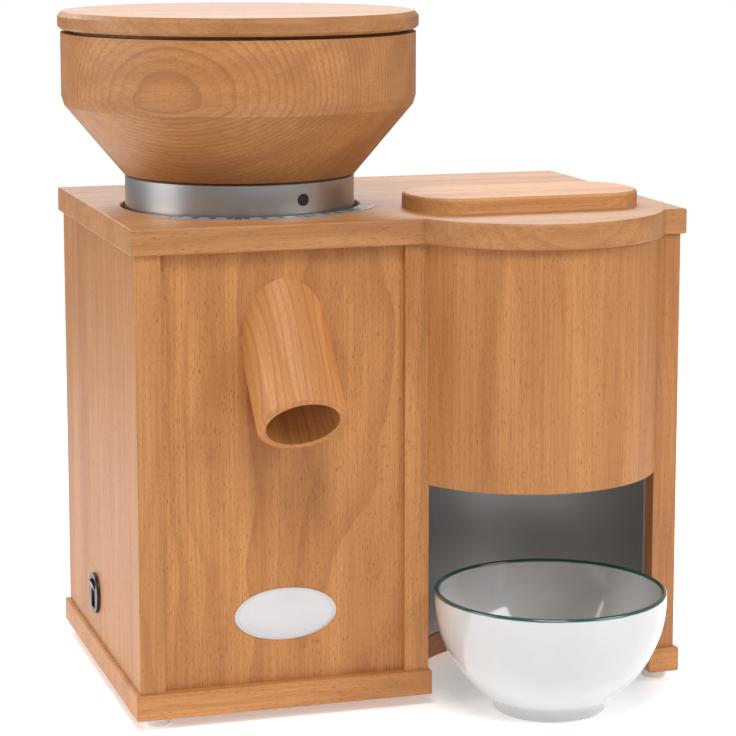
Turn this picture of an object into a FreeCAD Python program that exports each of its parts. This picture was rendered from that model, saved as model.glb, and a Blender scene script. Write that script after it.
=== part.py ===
import FreeCAD, Part
import math
import os
import re
import Sketcher
from FreeCAD import Placement, Rotation, Vector

# Electric grain mill with a flaker beside it, in one beech cabinet.
# The origin is on the table, under the middle of the whole outline: midway
# from the hopper lid to the right switch, and from the bowl to the gland.
# X runs to the right, Y to the back.

SIZES = [
    # cabinet
    ("width", 310, "base and top board, across"),
    ("depth", 204, "base and top board, straight front edge to back"),
    ("front_y", -62.75, "place of the straight front edge"),
    ("middle_x", 7.8, "place of the cabinet's middle plane"),
    ("foot_height", 6, "rubber foot below the base board"),
    ("foot_radius", 7, "rubber foot"),
    ("foot_setin", 14, "foot centre from the board edges"),
    ("board_thick", 14, "base and top board"),
    ("room_height", 234, "between base and top board"),
    ("edge_round", 1.2, "rounded edges of the boards"),
    ("side_inset", 2.5, "side panels behind the board edges"),
    ("front_inset", 2.3, "panel edges behind the straight front"),
    ("front_recess", 3.5, "front panel behind the panel edges"),
    ("back_inset", 3, "back panel behind the board edge"),
    ("panel_thick", 13.5, "side panels and partition"),
    ("front_thick", 12, "front panel"),
    ("back_thick", 8, "back panel"),
    ("mill_bay", 133, "clear width on the mill side"),
    ("bow_depth", 43, "how far the bow stands out of the front"),
    ("bow_lap", 3.5, "top board past the bay, each side"),
    ("bow_thick", 8, "bent bow panel"),
    ("bow_inset", 3.5, "bow panel behind the top board edge"),
    ("bay_height", 103, "bowl bay above the base board"),
    ("bay_straight", 16, "straight part of the bowl bay"),
    ("bay_ledge", 1.5, "base board past the bay lining"),
    ("liner_thick", 1, "steel bay lining"),
    ("shelf_thick", 8, "flaker shelf"),
    # hopper of the mill
    ("mill_y", 96, "mill axis behind the straight front"),
    ("hole_radius", 66, "hole in the top board"),
    ("ring_radius", 63.5, "steel ring, outside"),
    ("ring_wall", 2.5, "steel ring wall"),
    ("ring_top", 18, "steel ring above the top board"),
    ("throat_radius", 24, "grain throat"),
    ("cone_foot", 64.5, "hopper radius at its foot"),
    ("cone_height", 40, "conical part of the hopper"),
    ("hopper_radius", 97.7, "hopper, outside"),
    ("hopper_band", 37.5, "upright part of the hopper"),
    ("hopper_wall", 13, "hopper rim"),
    ("rim_lip", 2, "raised lip that carries the lid"),
    ("lid_radius", 99.2, "hopper lid"),
    ("lid_thick", 9.5, "hopper lid"),
    ("lid_plug", 6, "locating disc under the lid"),
    ("lid_play", 1, "locating disc to hopper wall"),
    ("dot_radius", 3.3, "index dot on the ring"),
    # grinding set
    ("chamber_radius", 60, "grinding chamber, outside"),
    ("thread_radius", 55, "threaded bore of the chamber"),
    ("chamber_floor", 5, "floor of the chamber"),
    ("chamber_deep", 36, "chamber floor below the top board"),
    ("flange_thick", 8, "flange under the top board"),
    ("run_play", 0.08, "running clearance on the radius"),
    ("stone_radius", 42.5, "grinding stones"),
    ("stone_thick", 10, "grinding stones"),
    ("stone_gap", 0.7, "gap between the stones at rest"),
    ("stone_eye", 15, "eye of the upper stone"),
    ("hub_thick", 5, "disc under the lower stone"),
    ("carrier_thick", 6, "threaded carrier of the upper stone"),
    ("shaft_radius", 7.5, "motor shaft"),
    # spout
    ("spout_x", 1, "spout to the right of the mill axis"),
    ("spout_z", 203.5, "spout axis at the front panel"),
    ("spout_tilt", 47, "spout below the horizontal"),
    ("spout_long", 50, "spout outside the front panel, on its axis"),
    ("spout_radius", 24, "spout, outside"),
    ("spout_wall", 4.4, "spout wall"),
    # mill motor
    ("motor_radius", 50, "motor stator"),
    ("stack_height", 60, "stator laminations"),
    ("rotor_radius", 26.6, "rotor"),
    ("air_gap", 0.4, "rotor to stator"),
    ("bearing_radius", 16, "ball bearings, outside"),
    ("bearing_thick", 9, "ball bearings"),
    ("bracket_thick", 14, "motor end brackets"),
    ("winding_height", 10, "winding heads"),
    ("fan_radius", 44, "cooling fan"),
    # flaker
    ("roller_z", 172, "roller axes above the table"),
    ("nip_y", 22, "roller nip behind the straight front"),
    ("roller_radius", 15, "flaking rollers"),
    ("roller_gap", 0.4, "gap between the rollers"),
    ("roller_long", 62, "flaking rollers"),
    ("roller_play", 1.25, "roller face to side plate"),
    ("journal_radius", 6, "roller journals"),
    ("bush_wall", 2, "bearing bushes"),
    ("plate_thick", 4, "side plates of the flaker"),
    ("gear_thick", 8, "gears"),
    ("sync_teeth", 16, "gears that tie the rollers"),
    ("drive_teeth", 48, "large drive gear"),
    ("pinion_teeth", 16, "pinion on the gear motor"),
    ("drive_module", 1.5, "tooth size of the drive pair"),
    ("can_radius", 28, "gear motor"),
    ("can_long", 44, "gear motor can"),
    ("gearbox_long", 14, "gear motor gearbox"),
    ("funnel_width", 96, "flaker hopper mouth, across"),
    ("funnel_deep", 44, "flaker hopper mouth, front to back"),
    ("funnel_back", 42, "flaker hopper mouth centre behind the front"),
    ("sheet", 1.2, "sheet metal of hopper and chute"),
    ("flaker_lid_width", 131.5, "flaker lid, across"),
    ("flaker_lid_deep", 61.5, "flaker lid, front to back"),
    ("flaker_lid_round", 26, "flaker lid corners"),
    ("flaker_lid_thick", 8.5, "flaker lid"),
    # trim
    ("badge_width", 56.6, "oval plate"),
    ("badge_height", 28.5, "oval plate"),
    ("badge_z", 57, "oval plate centre"),
    ("scale_inner", 67, "scale plate, inside"),
    ("scale_outer", 77, "scale plate, outside"),
    ("switch_y", 119, "switches behind the straight front"),
    ("switch_z", 45, "switches above the table"),
    ("bezel_radius", 11.5, "switch bezel"),
    ("switch_barrel", 9.9, "switch body in its hole"),
    ("switch_long", 22, "switch body"),
    # bowl
    ("bowl_radius", 63.2, "bowl rim"),
    ("bowl_height", 66, "bowl"),
    ("bowl_foot", 31, "bowl foot ring"),
    ("bowl_wall", 3.2, "bowl wall"),
    ("bowl_y", -18.3, "bowl centre behind the straight front"),
]

doc = FreeCAD.newDocument("grain_mill")
sheet = doc.addObject("Spreadsheet::Sheet", "Sizes")
for row, (alias, value, meaning) in enumerate(SIZES, 1):
    sheet.set("A%d" % row, meaning)
    sheet.set("B%d" % row, str(value))
    sheet.setAlias("B%d" % row, alias)
doc.recompute()
WORDS = sorted((alias for alias, value, meaning in SIZES), key=len, reverse=True)
WORD_PATTERN = re.compile(r"\b(" + "|".join(WORDS) + r")\b")


def size(alias):
    return float(sheet.get(alias))


def bound(text):
    # the same sum, with every size named as a cell of the sheet
    return WORD_PATTERN.sub(r"Sizes.\1", str(text))


def number(text):
    # the present value of a sum of sizes
    return float(sheet.evalExpression(bound(text)))


def link(thing, prop, text):
    thing.setExpression(prop, bound(text))


# planes that several pieces share, as sums of the sizes
LEFT_IN = "(middle_x-width/2+side_inset+panel_thick)"
PART_LEFT = "(middle_x-width/2+side_inset+panel_thick+mill_bay)"
PART_RIGHT = "(middle_x-width/2+side_inset+2*panel_thick+mill_bay)"
RIGHT_IN = "(middle_x+width/2-side_inset-panel_thick)"
MILL_X = "(middle_x-width/2+side_inset+panel_thick+mill_bay/2)"
BAY_X = "(middle_x+(mill_bay+panel_thick)/2)"
BAY_HALF = "((width-2*side_inset-3*panel_thick-mill_bay)/2)"
MILL_Y = "(front_y+mill_y)"
BACK = "(front_y+depth)"
BASE_TOP = "(foot_height+board_thick)"
ROOM_TOP = "(foot_height+board_thick+room_height)"
TOP = "(foot_height+2*board_thick+room_height)"
PANEL_FRONT = "(front_y+front_inset)"
FACE_Y = "(front_y+front_inset+front_recess)"
BOW_HALF = "(%s+bow_lap)" % BAY_HALF
BOW_RADIUS = "((%s*%s+bow_depth*bow_depth)/(2*bow_depth))" % (BOW_HALF, BOW_HALF)
BOW_Y = "(front_y-bow_depth+%s)" % BOW_RADIUS
SHELF_Z = "(%s+bay_height)" % BASE_TOP
PANEL_DEEP = "(depth-front_inset-back_inset)"
FLOOR_Z = "(%s-chamber_deep)" % ROOM_TOP
LOWER_STONE_Z = "(%s+2+hub_thick)" % FLOOR_Z
UPPER_STONE_Z = "(%s+stone_thick+stone_gap)" % LOWER_STONE_Z
CARRIER_Z = "(%s+stone_thick)" % UPPER_STONE_Z
RING_FOOT = "(%s-2.5)" % ROOM_TOP
HOPPER_Z = "(%s+ring_top)" % TOP
RIM_Z = "(%s+cone_height+hopper_band)" % HOPPER_Z
LID_Z = "(%s+rim_lip)" % RIM_Z
BRACKET_TOP = "(%s-chamber_floor)" % FLOOR_Z
STACK_TOP = "(%s-bracket_thick-winding_height-2)" % BRACKET_TOP
STACK_FOOT = "(%s-stack_height)" % STACK_TOP
LOW_BRACKET = "(%s-winding_height-2-bracket_thick)" % STACK_FOOT
FRONT_ROLLER_Y = "(front_y+nip_y-roller_radius-roller_gap/2)"
REAR_ROLLER_Y = "(front_y+nip_y+roller_radius+roller_gap/2)"
DRIVE_CENTRES = "(drive_module*(drive_teeth+pinion_teeth)/2)"
PINION_Y = "(%s+%s)" % (REAR_ROLLER_Y, DRIVE_CENTRES)
PLATE_X = "(roller_long/2+roller_play)"

TURNS = {
    "X": Rotation(Vector(0, 1, 0), 90),
    "Y": Rotation(Vector(1, 0, 0), -90),
    "Z": Rotation(),
}


def put(thing, x, y, z, turn=None):
    # places a piece by three sums of sizes, turned first when asked
    if turn is not None:
        thing.Placement = Placement(Vector(), turn)
    link(thing, "Placement.Base.x", x)
    link(thing, "Placement.Base.y", y)
    link(thing, "Placement.Base.z", z)
    return thing


def box(name, low, spans):
    thing = doc.addObject("Part::Box", name)
    for prop, text in zip(("Length", "Width", "Height"), spans):
        link(thing, prop, text)
    return put(thing, *low)


def rod(name, axis, start, radius, length):
    thing = doc.addObject("Part::Cylinder", name)
    link(thing, "Radius", radius)
    link(thing, "Height", length)
    return put(thing, *start, turn=TURNS[axis])


def cut(name, base, *tools):
    thing = doc.addObject("Part::Cut", name)
    thing.Base = base
    thing.Tool = tools[0] if len(tools) == 1 else fuse(name + "_cutter", *tools)
    return thing


def fuse(name, *pieces):
    thing = doc.addObject("Part::MultiFuse", name)
    thing.Shapes = list(pieces)
    thing.Refine = True
    return thing


def common(name, first, second):
    thing = doc.addObject("Part::Common", name)
    thing.Base = first
    thing.Tool = second
    return thing


def soften(name, base, radius, chosen):
    # rounds the edges for which chosen(edge) is true
    doc.recompute()
    numbers = [i for i, edge in enumerate(base.Shape.Edges, 1) if chosen(edge)]
    thing = doc.addObject("Part::Fillet", name)
    thing.Base = base
    thing.Edges = [(i, number(radius), number(radius)) for i in numbers]
    return thing


def group(name, pieces):
    # like pieces that share a node
    thing = doc.addObject("Part::Compound", name)
    thing.Links = list(pieces)
    return thing


def plane(body, role):
    return [f for f in body.Origin.OriginFeatures if f.Role == role][0]


def sketch_on(body, name, role, lift=None):
    sketch = body.newObject("Sketcher::SketchObject", name)
    sketch.AttachmentSupport = [(plane(body, role), "")]
    sketch.MapMode = "FlatFace"
    if lift is not None:
        link(sketch, "AttachmentOffset.Base.z", lift)
    return sketch


def pin_point(sketch, edge, end, corner):
    for kind, text in zip(("DistanceX", "DistanceY"), corner):
        where = number(text)
        index = sketch.addConstraint(Sketcher.Constraint(kind, -1, 1, edge, end, where))
        link(sketch, "Constraints[%d]" % index, text)


HALF_ROUND = "1"


def outline(sketch, corners):
    # A closed outline. Each corner is a pair of sums of sizes; a third entry
    # is the radius of the arc that leads on from it, positive when the arc
    # runs with the centre on its left, and HALF_ROUND makes a half circle.
    spots = [Vector(number(c[0]), number(c[1]), 0) for c in corners]
    first = sketch.GeometryCount
    count = len(corners)
    arcs = {}
    half_rounds = []
    for i, corner in enumerate(corners):
        start = spots[i]
        stop = spots[(i + 1) % count]
        if len(corner) < 3:
            sketch.addGeometry(Part.LineSegment(start, stop), False)
            continue
        radius = number(corner[2])
        half = (stop - start) * 0.5
        if corner[2].lstrip("-") == HALF_ROUND:
            radius = math.copysign(half.Length, radius)
            half_rounds.append(i)
        side = Vector(-half.y, half.x, 0).normalize()
        rise = math.sqrt(max(radius * radius - half.Length ** 2, 0))
        centre = start + half + side * math.copysign(rise, radius)
        backward = radius < 0
        near, far = (stop, start) if backward else (start, stop)
        begin_angle = math.atan2(near.y - centre.y, near.x - centre.x)
        end_angle = math.atan2(far.y - centre.y, far.x - centre.x)
        if end_angle < begin_angle:
            end_angle += 2 * math.pi
        whole = Part.Circle(centre, Vector(0, 0, 1), abs(radius))
        sketch.addGeometry(Part.ArcOfCircle(whole, begin_angle, end_angle), False)
        arcs[i] = backward
    for i, corner in enumerate(corners):
        begin = 2 if arcs.get(i, False) else 1
        finish = 1 if arcs.get(i, False) else 2
        after = (i + 1) % count
        begin_next = 2 if arcs.get(after, False) else 1
        join = Sketcher.Constraint("Coincident", first + i, finish, first + after, begin_next)
        sketch.addConstraint(join)
        pin_point(sketch, first + i, begin, corner)
        if i in half_rounds:
            middle = Sketcher.Constraint("Symmetric", first + i, 1, first + i, 2, first + i, 3)
            sketch.addConstraint(middle)
        elif len(corner) == 3:
            rule = Sketcher.Constraint("Radius", first + i, abs(number(corner[2])))
            index = sketch.addConstraint(rule)
            link(sketch, "Constraints[%d]" % index, "abs(%s)" % corner[2])


def circle(sketch, x, y, radius):
    middle = Vector(number(x), number(y), 0)
    edge = sketch.addGeometry(Part.Circle(middle, Vector(0, 0, 1), number(radius)), False)
    pin_point(sketch, edge, 3, (x, y))
    index = sketch.addConstraint(Sketcher.Constraint("Radius", edge, number(radius)))
    link(sketch, "Constraints[%d]" % index, radius)


def new_body(name):
    return doc.addObject("PartDesign::Body", name)


def pad(body, sketch, height, reverse=False):
    thing = body.newObject("PartDesign::Pad", sketch.Name + "_pad")
    thing.Profile = sketch
    link(thing, "Length", height)
    thing.Reversed = reverse
    sketch.Visibility = False
    return thing


def pocket_through(body, sketch):
    thing = body.newObject("PartDesign::Pocket", sketch.Name + "_cut")
    thing.Profile = sketch
    thing.Type = "ThroughAll"
    thing.Midplane = True
    return thing


def turned(name, corners, x, y, z):
    # a turned piece: its half section, radius first, spun about its own axis
    body = new_body(name)
    section = sketch_on(body, name + "_section", "XZ_Plane")
    outline(section, corners)
    spin = body.newObject("PartDesign::Revolution", name + "_turning")
    spin.Profile = section
    spin.ReferenceAxis = (section, ["V_Axis"])
    spin.Angle = 360
    return put(body, x, y, z)


def board(name, corners, z, thick):
    # a flat board with its outline in plan
    body = new_body(name)
    plan = sketch_on(body, name + "_plan", "XY_Plane")
    outline(plan, corners)
    pad(body, plan, thick)
    return put(body, "0", "0", z)


def round_board(body, radius, chosen):
    # eases the edges of a board that a hand touches
    doc.recompute()
    tip = body.Tip
    names = ["Edge%d" % i for i, e in enumerate(tip.Shape.Edges, 1) if chosen(e)]
    thing = body.newObject("PartDesign::Fillet", body.Name + "_easing")
    thing.Base = (tip, names)
    link(thing, "Radius", radius)
    return thing


def level_edge(edge):
    ends = [v.Point.z for v in edge.Vertexes]
    return max(ends) - min(ends) < 1e-6


def screw(name, axis, head, radius, length):
    # a countersunk screw: the head's face is at the given place
    turn = TURNS[axis.strip("-")]
    if axis.startswith("-"):
        turn = turn.multiply(Rotation(Vector(1, 0, 0), 180))
    cone = doc.addObject("Part::Cone", name + "_head")
    link(cone, "Radius1", "2*(%s)" % radius)
    link(cone, "Radius2", radius)
    link(cone, "Height", radius)
    put(cone, *head, turn=turn)
    shank = doc.addObject("Part::Cylinder", name + "_shank")
    link(shank, "Radius", radius)
    link(shank, "Height", length)
    put(shank, *head, turn=turn)
    return fuse(name, cone, shank)


# cabinet boards

LEDGE_HALF = "(%s-bay_ledge)" % BAY_HALF
BAY_Y = "(front_y+bay_straight)"

base = board("base_board", [
    ("middle_x-width/2", "front_y"),
    ("%s-%s" % (BAY_X, LEDGE_HALF), "front_y"),
    ("%s-%s" % (BAY_X, LEDGE_HALF), BAY_Y, "-" + HALF_ROUND),
    ("%s+%s" % (BAY_X, LEDGE_HALF), BAY_Y),
    ("%s+%s" % (BAY_X, LEDGE_HALF), "front_y"),
    ("middle_x+width/2", "front_y"),
    ("middle_x+width/2", BACK),
    ("middle_x-width/2", BACK),
], "foot_height", "board_thick")
easy_base = round_board(base, "edge_round", level_edge)

top = board("top_board", [
    ("middle_x-width/2", "front_y"),
    ("%s-%s" % (BAY_X, BOW_HALF), "front_y", BOW_RADIUS),
    ("%s+%s" % (BAY_X, BOW_HALF), "front_y"),
    ("middle_x+width/2", "front_y"),
    ("middle_x+width/2", BACK),
    ("middle_x-width/2", BACK),
], ROOM_TOP, "board_thick")
mouths = sketch_on(top, "top_board_mouths", "XY_Plane")
circle(mouths, MILL_X, MILL_Y, "hole_radius")
FUNNEL_Y = "(front_y+funnel_back)"
FUNNEL_HALF = "(funnel_width/2-funnel_deep/2)"
outline(mouths, [
    ("%s-%s" % (BAY_X, FUNNEL_HALF), "%s-funnel_deep/2" % FUNNEL_Y),
    ("%s+%s" % (BAY_X, FUNNEL_HALF), "%s-funnel_deep/2" % FUNNEL_Y, HALF_ROUND),
    ("%s+%s" % (BAY_X, FUNNEL_HALF), "%s+funnel_deep/2" % FUNNEL_Y),
    ("%s-%s" % (BAY_X, FUNNEL_HALF), "%s+funnel_deep/2" % FUNNEL_Y, HALF_ROUND),
])
pocket_through(top, mouths)
round_board(top, "edge_round", level_edge)

left_panel_blank = box("left_panel_blank", ("middle_x-width/2+side_inset", PANEL_FRONT, BASE_TOP),
                       ("panel_thick", PANEL_DEEP, "room_height"))
right_panel_blank = box("right_panel_blank", (RIGHT_IN, PANEL_FRONT, BASE_TOP),
                        ("panel_thick", PANEL_DEEP, "room_height"))
SWITCH_Y = "(front_y+switch_y)"
left_hole = rod("left_switch_hole", "X", ("middle_x-width/2", SWITCH_Y, "switch_z"),
                "switch_barrel+0.3", "side_inset+panel_thick+1")
right_hole = rod("right_switch_hole", "X", (RIGHT_IN + "-1", SWITCH_Y, "switch_z"),
                 "switch_barrel+0.3", "side_inset+panel_thick+1")
left_panel = cut("left_side_panel", left_panel_blank, left_hole)
right_panel = cut("right_side_panel", right_panel_blank, right_hole)

# the partition has a wire hole high up at the back
partition_blank = box("partition_blank", (PART_LEFT, PANEL_FRONT, BASE_TOP),
                      ("panel_thick", PANEL_DEEP + "-back_thick", "room_height"))
wire_hole = rod("partition_wire_hole", "X", (PART_LEFT + "-1", BACK + "-30", BASE_TOP + "+60"),
                "9", "panel_thick+2")
partition = cut("middle_partition", partition_blank, wire_hole)

# spout: a bored round bar cut off behind the front panel
SPOUT_X = "(%s+spout_x)" % MILL_X
SPOUT_TURN = Rotation(Vector(1, 0, 0), 90 + size("spout_tilt"))
SPOUT_AXIS = SPOUT_TURN.multVec(Vector(0, 0, 1))
BEHIND = "80"


def slanted_rod(name, radius, before, beyond):
    # along the spout axis, from behind the panel to past its face
    thing = doc.addObject("Part::Cylinder", name)
    link(thing, "Radius", radius)
    link(thing, "Height", "%s+%s" % (before, beyond))
    return put(thing, SPOUT_X,
               "%s+(%s)*cos(spout_tilt)" % (FACE_Y, before),
               "spout_z+(%s)*sin(spout_tilt)" % before, turn=SPOUT_TURN)


front_blank = box("front_panel_blank", (LEFT_IN, FACE_Y, BASE_TOP),
                  ("mill_bay", "front_thick", "room_height"))
spout_hole = slanted_rod("front_panel_spout_hole", "spout_radius", BEHIND, "30")
front_panel = cut("front_panel", front_blank, spout_hole)
spout_bar = slanted_rod("spout_bar", "spout_radius", BEHIND, "spout_long")
spout_bore = slanted_rod("spout_bore", "spout_radius-spout_wall", BEHIND + "+1", "spout_long+1")
spout_trim = box("spout_trim", ("%s-60" % SPOUT_X, "%s+front_thick" % FACE_Y, "spout_z-60"),
                 ("120", "120", "160"))
spout_raw = cut("spout_raw", spout_bar, spout_bore, spout_trim)
spout = soften("spout", spout_raw, "1", lambda e: e.BoundBox.YMax < number(FACE_Y) - 5
               and abs(e.Length - 2 * math.pi * number("spout_radius")) < 1)

BACK_FACE = "(%s-back_inset-back_thick)" % BACK
back_blank = box("back_panel_blank", (LEFT_IN, BACK_FACE, BASE_TOP),
                 ("%s-%s" % (RIGHT_IN, LEFT_IN), "back_thick", "room_height"))
SLOTS = 7
vents = []
for bay, middle in enumerate((MILL_X, BAY_X), 1):
    for i in range(SLOTS):
        vents.append(box("back_slot_%d_%d" % (bay, i + 1),
                         ("%s-30" % middle, BACK_FACE + "-1", "%s+30+%d*9" % (BASE_TOP, i)),
                         ("60", "back_thick+2", "4")))
GLAND_X = "(%s+mill_bay-22)" % LEFT_IN
GLAND_Z = "(%s+22)" % BASE_TOP
gland_hole = rod("gland_hole", "Y", (GLAND_X, BACK_FACE + "-1", GLAND_Z), "6.2", "back_thick+2")
back_panel = cut("back_panel", back_blank, gland_hole, *vents)

# bow panel: bent round the same centre as the bow of the top board
BOW_OUTER = "(%s-bow_inset)" % BOW_RADIUS
bow_rod = rod("bow_outer", "Z", (BAY_X, BOW_Y, SHELF_Z), BOW_OUTER, "room_height-bay_height")
bow_core = rod("bow_inner", "Z", (BAY_X, BOW_Y, SHELF_Z + "-1"), BOW_OUTER + "-bow_thick",
               "room_height-bay_height+2")
bow_behind = box("bow_behind", ("%s-150" % BAY_X, PANEL_FRONT + "+10", SHELF_Z + "-1"),
                 ("300", "250", "room_height+2"))
bow_left = box("bow_left_seat", (PART_RIGHT + "-100", PANEL_FRONT, SHELF_Z + "-1"),
               ("100", "250", "room_height+2"))
bow_right = box("bow_right_seat", (RIGHT_IN, PANEL_FRONT, SHELF_Z + "-1"),
                ("100", "250", "room_height+2"))
bow_panel = cut("bow_front_panel", bow_rod, bow_core, bow_behind, bow_left, bow_right)

# bay lining: one bent sheet, straight at the front and round at the back
LINER_OUT = "%s" % BAY_HALF
LINER_IN = "(%s-liner_thick)" % BAY_HALF
LINER_FRONT = PANEL_FRONT + "+11"
liner = board("bay_lining", [
    ("%s-%s" % (BAY_X, LINER_OUT), LINER_FRONT),
    ("%s-%s" % (BAY_X, LINER_IN), LINER_FRONT),
    ("%s-%s" % (BAY_X, LINER_IN), BAY_Y, "-" + HALF_ROUND),
    ("%s+%s" % (BAY_X, LINER_IN), BAY_Y),
    ("%s+%s" % (BAY_X, LINER_IN), LINER_FRONT),
    ("%s+%s" % (BAY_X, LINER_OUT), LINER_FRONT),
    ("%s+%s" % (BAY_X, LINER_OUT), BAY_Y, HALF_ROUND),
    ("%s-%s" % (BAY_X, LINER_OUT), BAY_Y),
], BASE_TOP, "bay_height")

# flaker shelf: closes the bay above and carries the roller frame
SHELF_FRONT_HALF = "sqrt((%s-bow_thick)*(%s-bow_thick)-(%s-front_y-12)*(%s-front_y-12))" % (
    BOW_OUTER, BOW_OUTER, BOW_Y, BOW_Y)
shelf_rod = rod("shelf_bow", "Z", (BAY_X, BOW_Y, SHELF_Z), BOW_OUTER + "-bow_thick", "shelf_thick")
shelf_back = box("shelf_back", (PART_RIGHT, PANEL_FRONT + "+10", SHELF_Z),
                 ("2*%s" % BAY_HALF, "140", "shelf_thick"))
shelf_side_l = box("shelf_side_l", (PART_RIGHT + "-100", "front_y-60", SHELF_Z + "-1"),
                   ("100", "260", "shelf_thick+2"))
shelf_side_r = box("shelf_side_r", (RIGHT_IN, "front_y-60", SHELF_Z + "-1"),
                   ("100", "260", "shelf_thick+2"))
CHUTE_HALF = "(roller_long/2-2)"
CHUTE_DEEP = "26"
CHUTE_Y = "(front_y+nip_y-%s/2)" % CHUTE_DEEP
shelf_slot = box("shelf_slot", ("%s-%s" % (BAY_X, CHUTE_HALF), CHUTE_Y, SHELF_Z + "-1"),
                 ("2*%s" % CHUTE_HALF, CHUTE_DEEP, "shelf_thick+2"))
shelf = cut("flaker_shelf", fuse("shelf_plate", shelf_rod, shelf_back),
            shelf_side_l, shelf_side_r, shelf_slot)

# feet, each with its screw
feet = []
foot_screws = []
FOOT_SPOTS = {
    "foot_front_left": ("middle_x-width/2+foot_setin", "front_y+foot_setin"),
    "foot_front_right": ("(%s+%s+middle_x+width/2)/2" % (BAY_X, LEDGE_HALF), "front_y+foot_setin"),
    "foot_back_left": ("middle_x-width/2+foot_setin", BACK + "-foot_setin"),
    "foot_back_right": ("middle_x+width/2-foot_setin", BACK + "-foot_setin"),
}
for name, (x, y) in FOOT_SPOTS.items():
    foot = turned(name, [("2.2", "0"), ("foot_radius-1", "0"), ("foot_radius", "1"),
                         ("foot_radius", "foot_height"), ("2.2", "foot_height")], x, y, "0")
    pit = sketch_on(foot, name + "_pit", "XY_Plane")
    circle(pit, "0", "0", "foot_radius-3")
    sunk = foot.newObject("PartDesign::Pocket", name + "_sunk")
    sunk.Profile = pit
    link(sunk, "Length", "foot_height/2")
    sunk.Reversed = True
    feet.append(foot)
    head = rod(name + "_screw_head", "Z", (x, y, "foot_height/2-1.6"), "3.6", "1.6")
    shank = rod(name + "_screw_shank", "Z", (x, y, "foot_height/2"), "2.2", "foot_height/2+10")
    foot_screws.append(fuse(name + "_screw", head, shank))
foot_set = group("feet", feet)
feet_screws = group("foot_screws", foot_screws)

# badge and scale plates
badge_disc = doc.addObject("Part::Ellipse", "badge_edge")
link(badge_disc, "MajorRadius", "badge_width/2")
link(badge_disc, "MinorRadius", "badge_height/2")
badge = doc.addObject("Part::Extrusion", "badge_plate")
badge.Base = badge_disc
badge.Dir = Vector(0, 0, 1)
badge.DirMode = "Custom"
link(badge, "LengthFwd", "0.6")
badge.Solid = True
put(badge, "%s+0.5" % MILL_X, FACE_Y, "badge_z", turn=Rotation(Vector(1, 0, 0), 90))

scale_body = new_body("scale_plate")
arc_plan = sketch_on(scale_body, "scale_plan", "XY_Plane")
FROM = math.radians(222)
UPTO = math.radians(334)


def polar(radius, angle):
    return ("%s*%.6f" % (radius, math.cos(angle)), "%s*%.6f" % (radius, math.sin(angle)))


outline(arc_plan, [
    polar("scale_inner", FROM),
    polar("scale_outer", FROM) + ("scale_outer",),
    polar("scale_outer", UPTO),
    polar("scale_inner", UPTO) + ("-scale_inner",),
])
pad(scale_body, arc_plan, "0.3")
put(scale_body, MILL_X, MILL_Y, TOP)

# hopper of the mill, turned from beech
LIP_IN = "(hopper_radius-hopper_wall)"
hopper = turned("hopper", [
    ("throat_radius+1", "0"),
    ("cone_foot", "0"),
    ("hopper_radius-1.5", "cone_height-2"),
    ("hopper_radius", "cone_height+3"),
    ("hopper_radius", "cone_height+hopper_band"),
    (LIP_IN + "+6", "cone_height+hopper_band"),
    (LIP_IN + "+6", "cone_height+hopper_band+rim_lip"),
    (LIP_IN, "cone_height+hopper_band+rim_lip"),
    (LIP_IN + "-3", "cone_height+8"),
    ("throat_radius+1", "6"),
], MILL_X, MILL_Y, HOPPER_Z)
hopper_screws = []
for i in range(3):
    turn = math.radians(90 + 120 * i)
    x = "%s+(throat_radius+18)*%.6f" % (MILL_X, math.cos(turn))
    y = "%s+(throat_radius+18)*%.6f" % (MILL_Y, math.sin(turn))
    hopper_screws.append(screw("hopper_screw_%d" % (i + 1), "Z", (x, y, HOPPER_Z + "-3"), "1.8", "9"))
hopper_screw_set = group("hopper_screws", hopper_screws)

lid = turned("hopper_lid", [
    ("0", "-lid_plug"),
    (LIP_IN + "-lid_play-1.5", "-lid_plug"),
    (LIP_IN + "-lid_play", "0"),
    ("lid_radius-1.5", "0"),
    ("lid_radius", "1.5"),
    ("lid_radius", "lid_thick-2.5"),
    ("lid_radius-2.5", "lid_thick"),
    ("0", "lid_thick"),
], MILL_X, MILL_Y, LID_Z)

# steel ring: a drawn cup with its flange under the hopper
RING_LONG = "(%s-%s)" % (HOPPER_Z, RING_FOOT)
ring_cup = turned("ring_cup", [
    ("ring_radius-ring_wall", "0"),
    ("ring_radius", "0"),
    ("ring_radius", RING_LONG + "-1.5"),
    ("ring_radius-1.5", RING_LONG),
    ("throat_radius", RING_LONG),
    ("throat_radius", RING_LONG + "-3"),
    ("ring_radius-ring_wall", RING_LONG + "-3"),
], MILL_X, MILL_Y, RING_FOOT)
DOT_ANGLE = -72
DOT_COS = math.cos(math.radians(DOT_ANGLE))
DOT_SIN = math.sin(math.radians(DOT_ANGLE))
DOT_TURN = Rotation(Vector(0, 0, 1), DOT_ANGLE).multiply(TURNS["X"])


def radial_rod(name, radius, start, length, z):
    # a round piece that points out of the ring at the index mark
    thing = doc.addObject("Part::Cylinder", name)
    link(thing, "Radius", radius)
    link(thing, "Height", length)
    return put(thing, "%s+(%s)*%.6f" % (MILL_X, start, DOT_COS),
               "%s+(%s)*%.6f" % (MILL_Y, start, DOT_SIN), z, turn=DOT_TURN)


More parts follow.
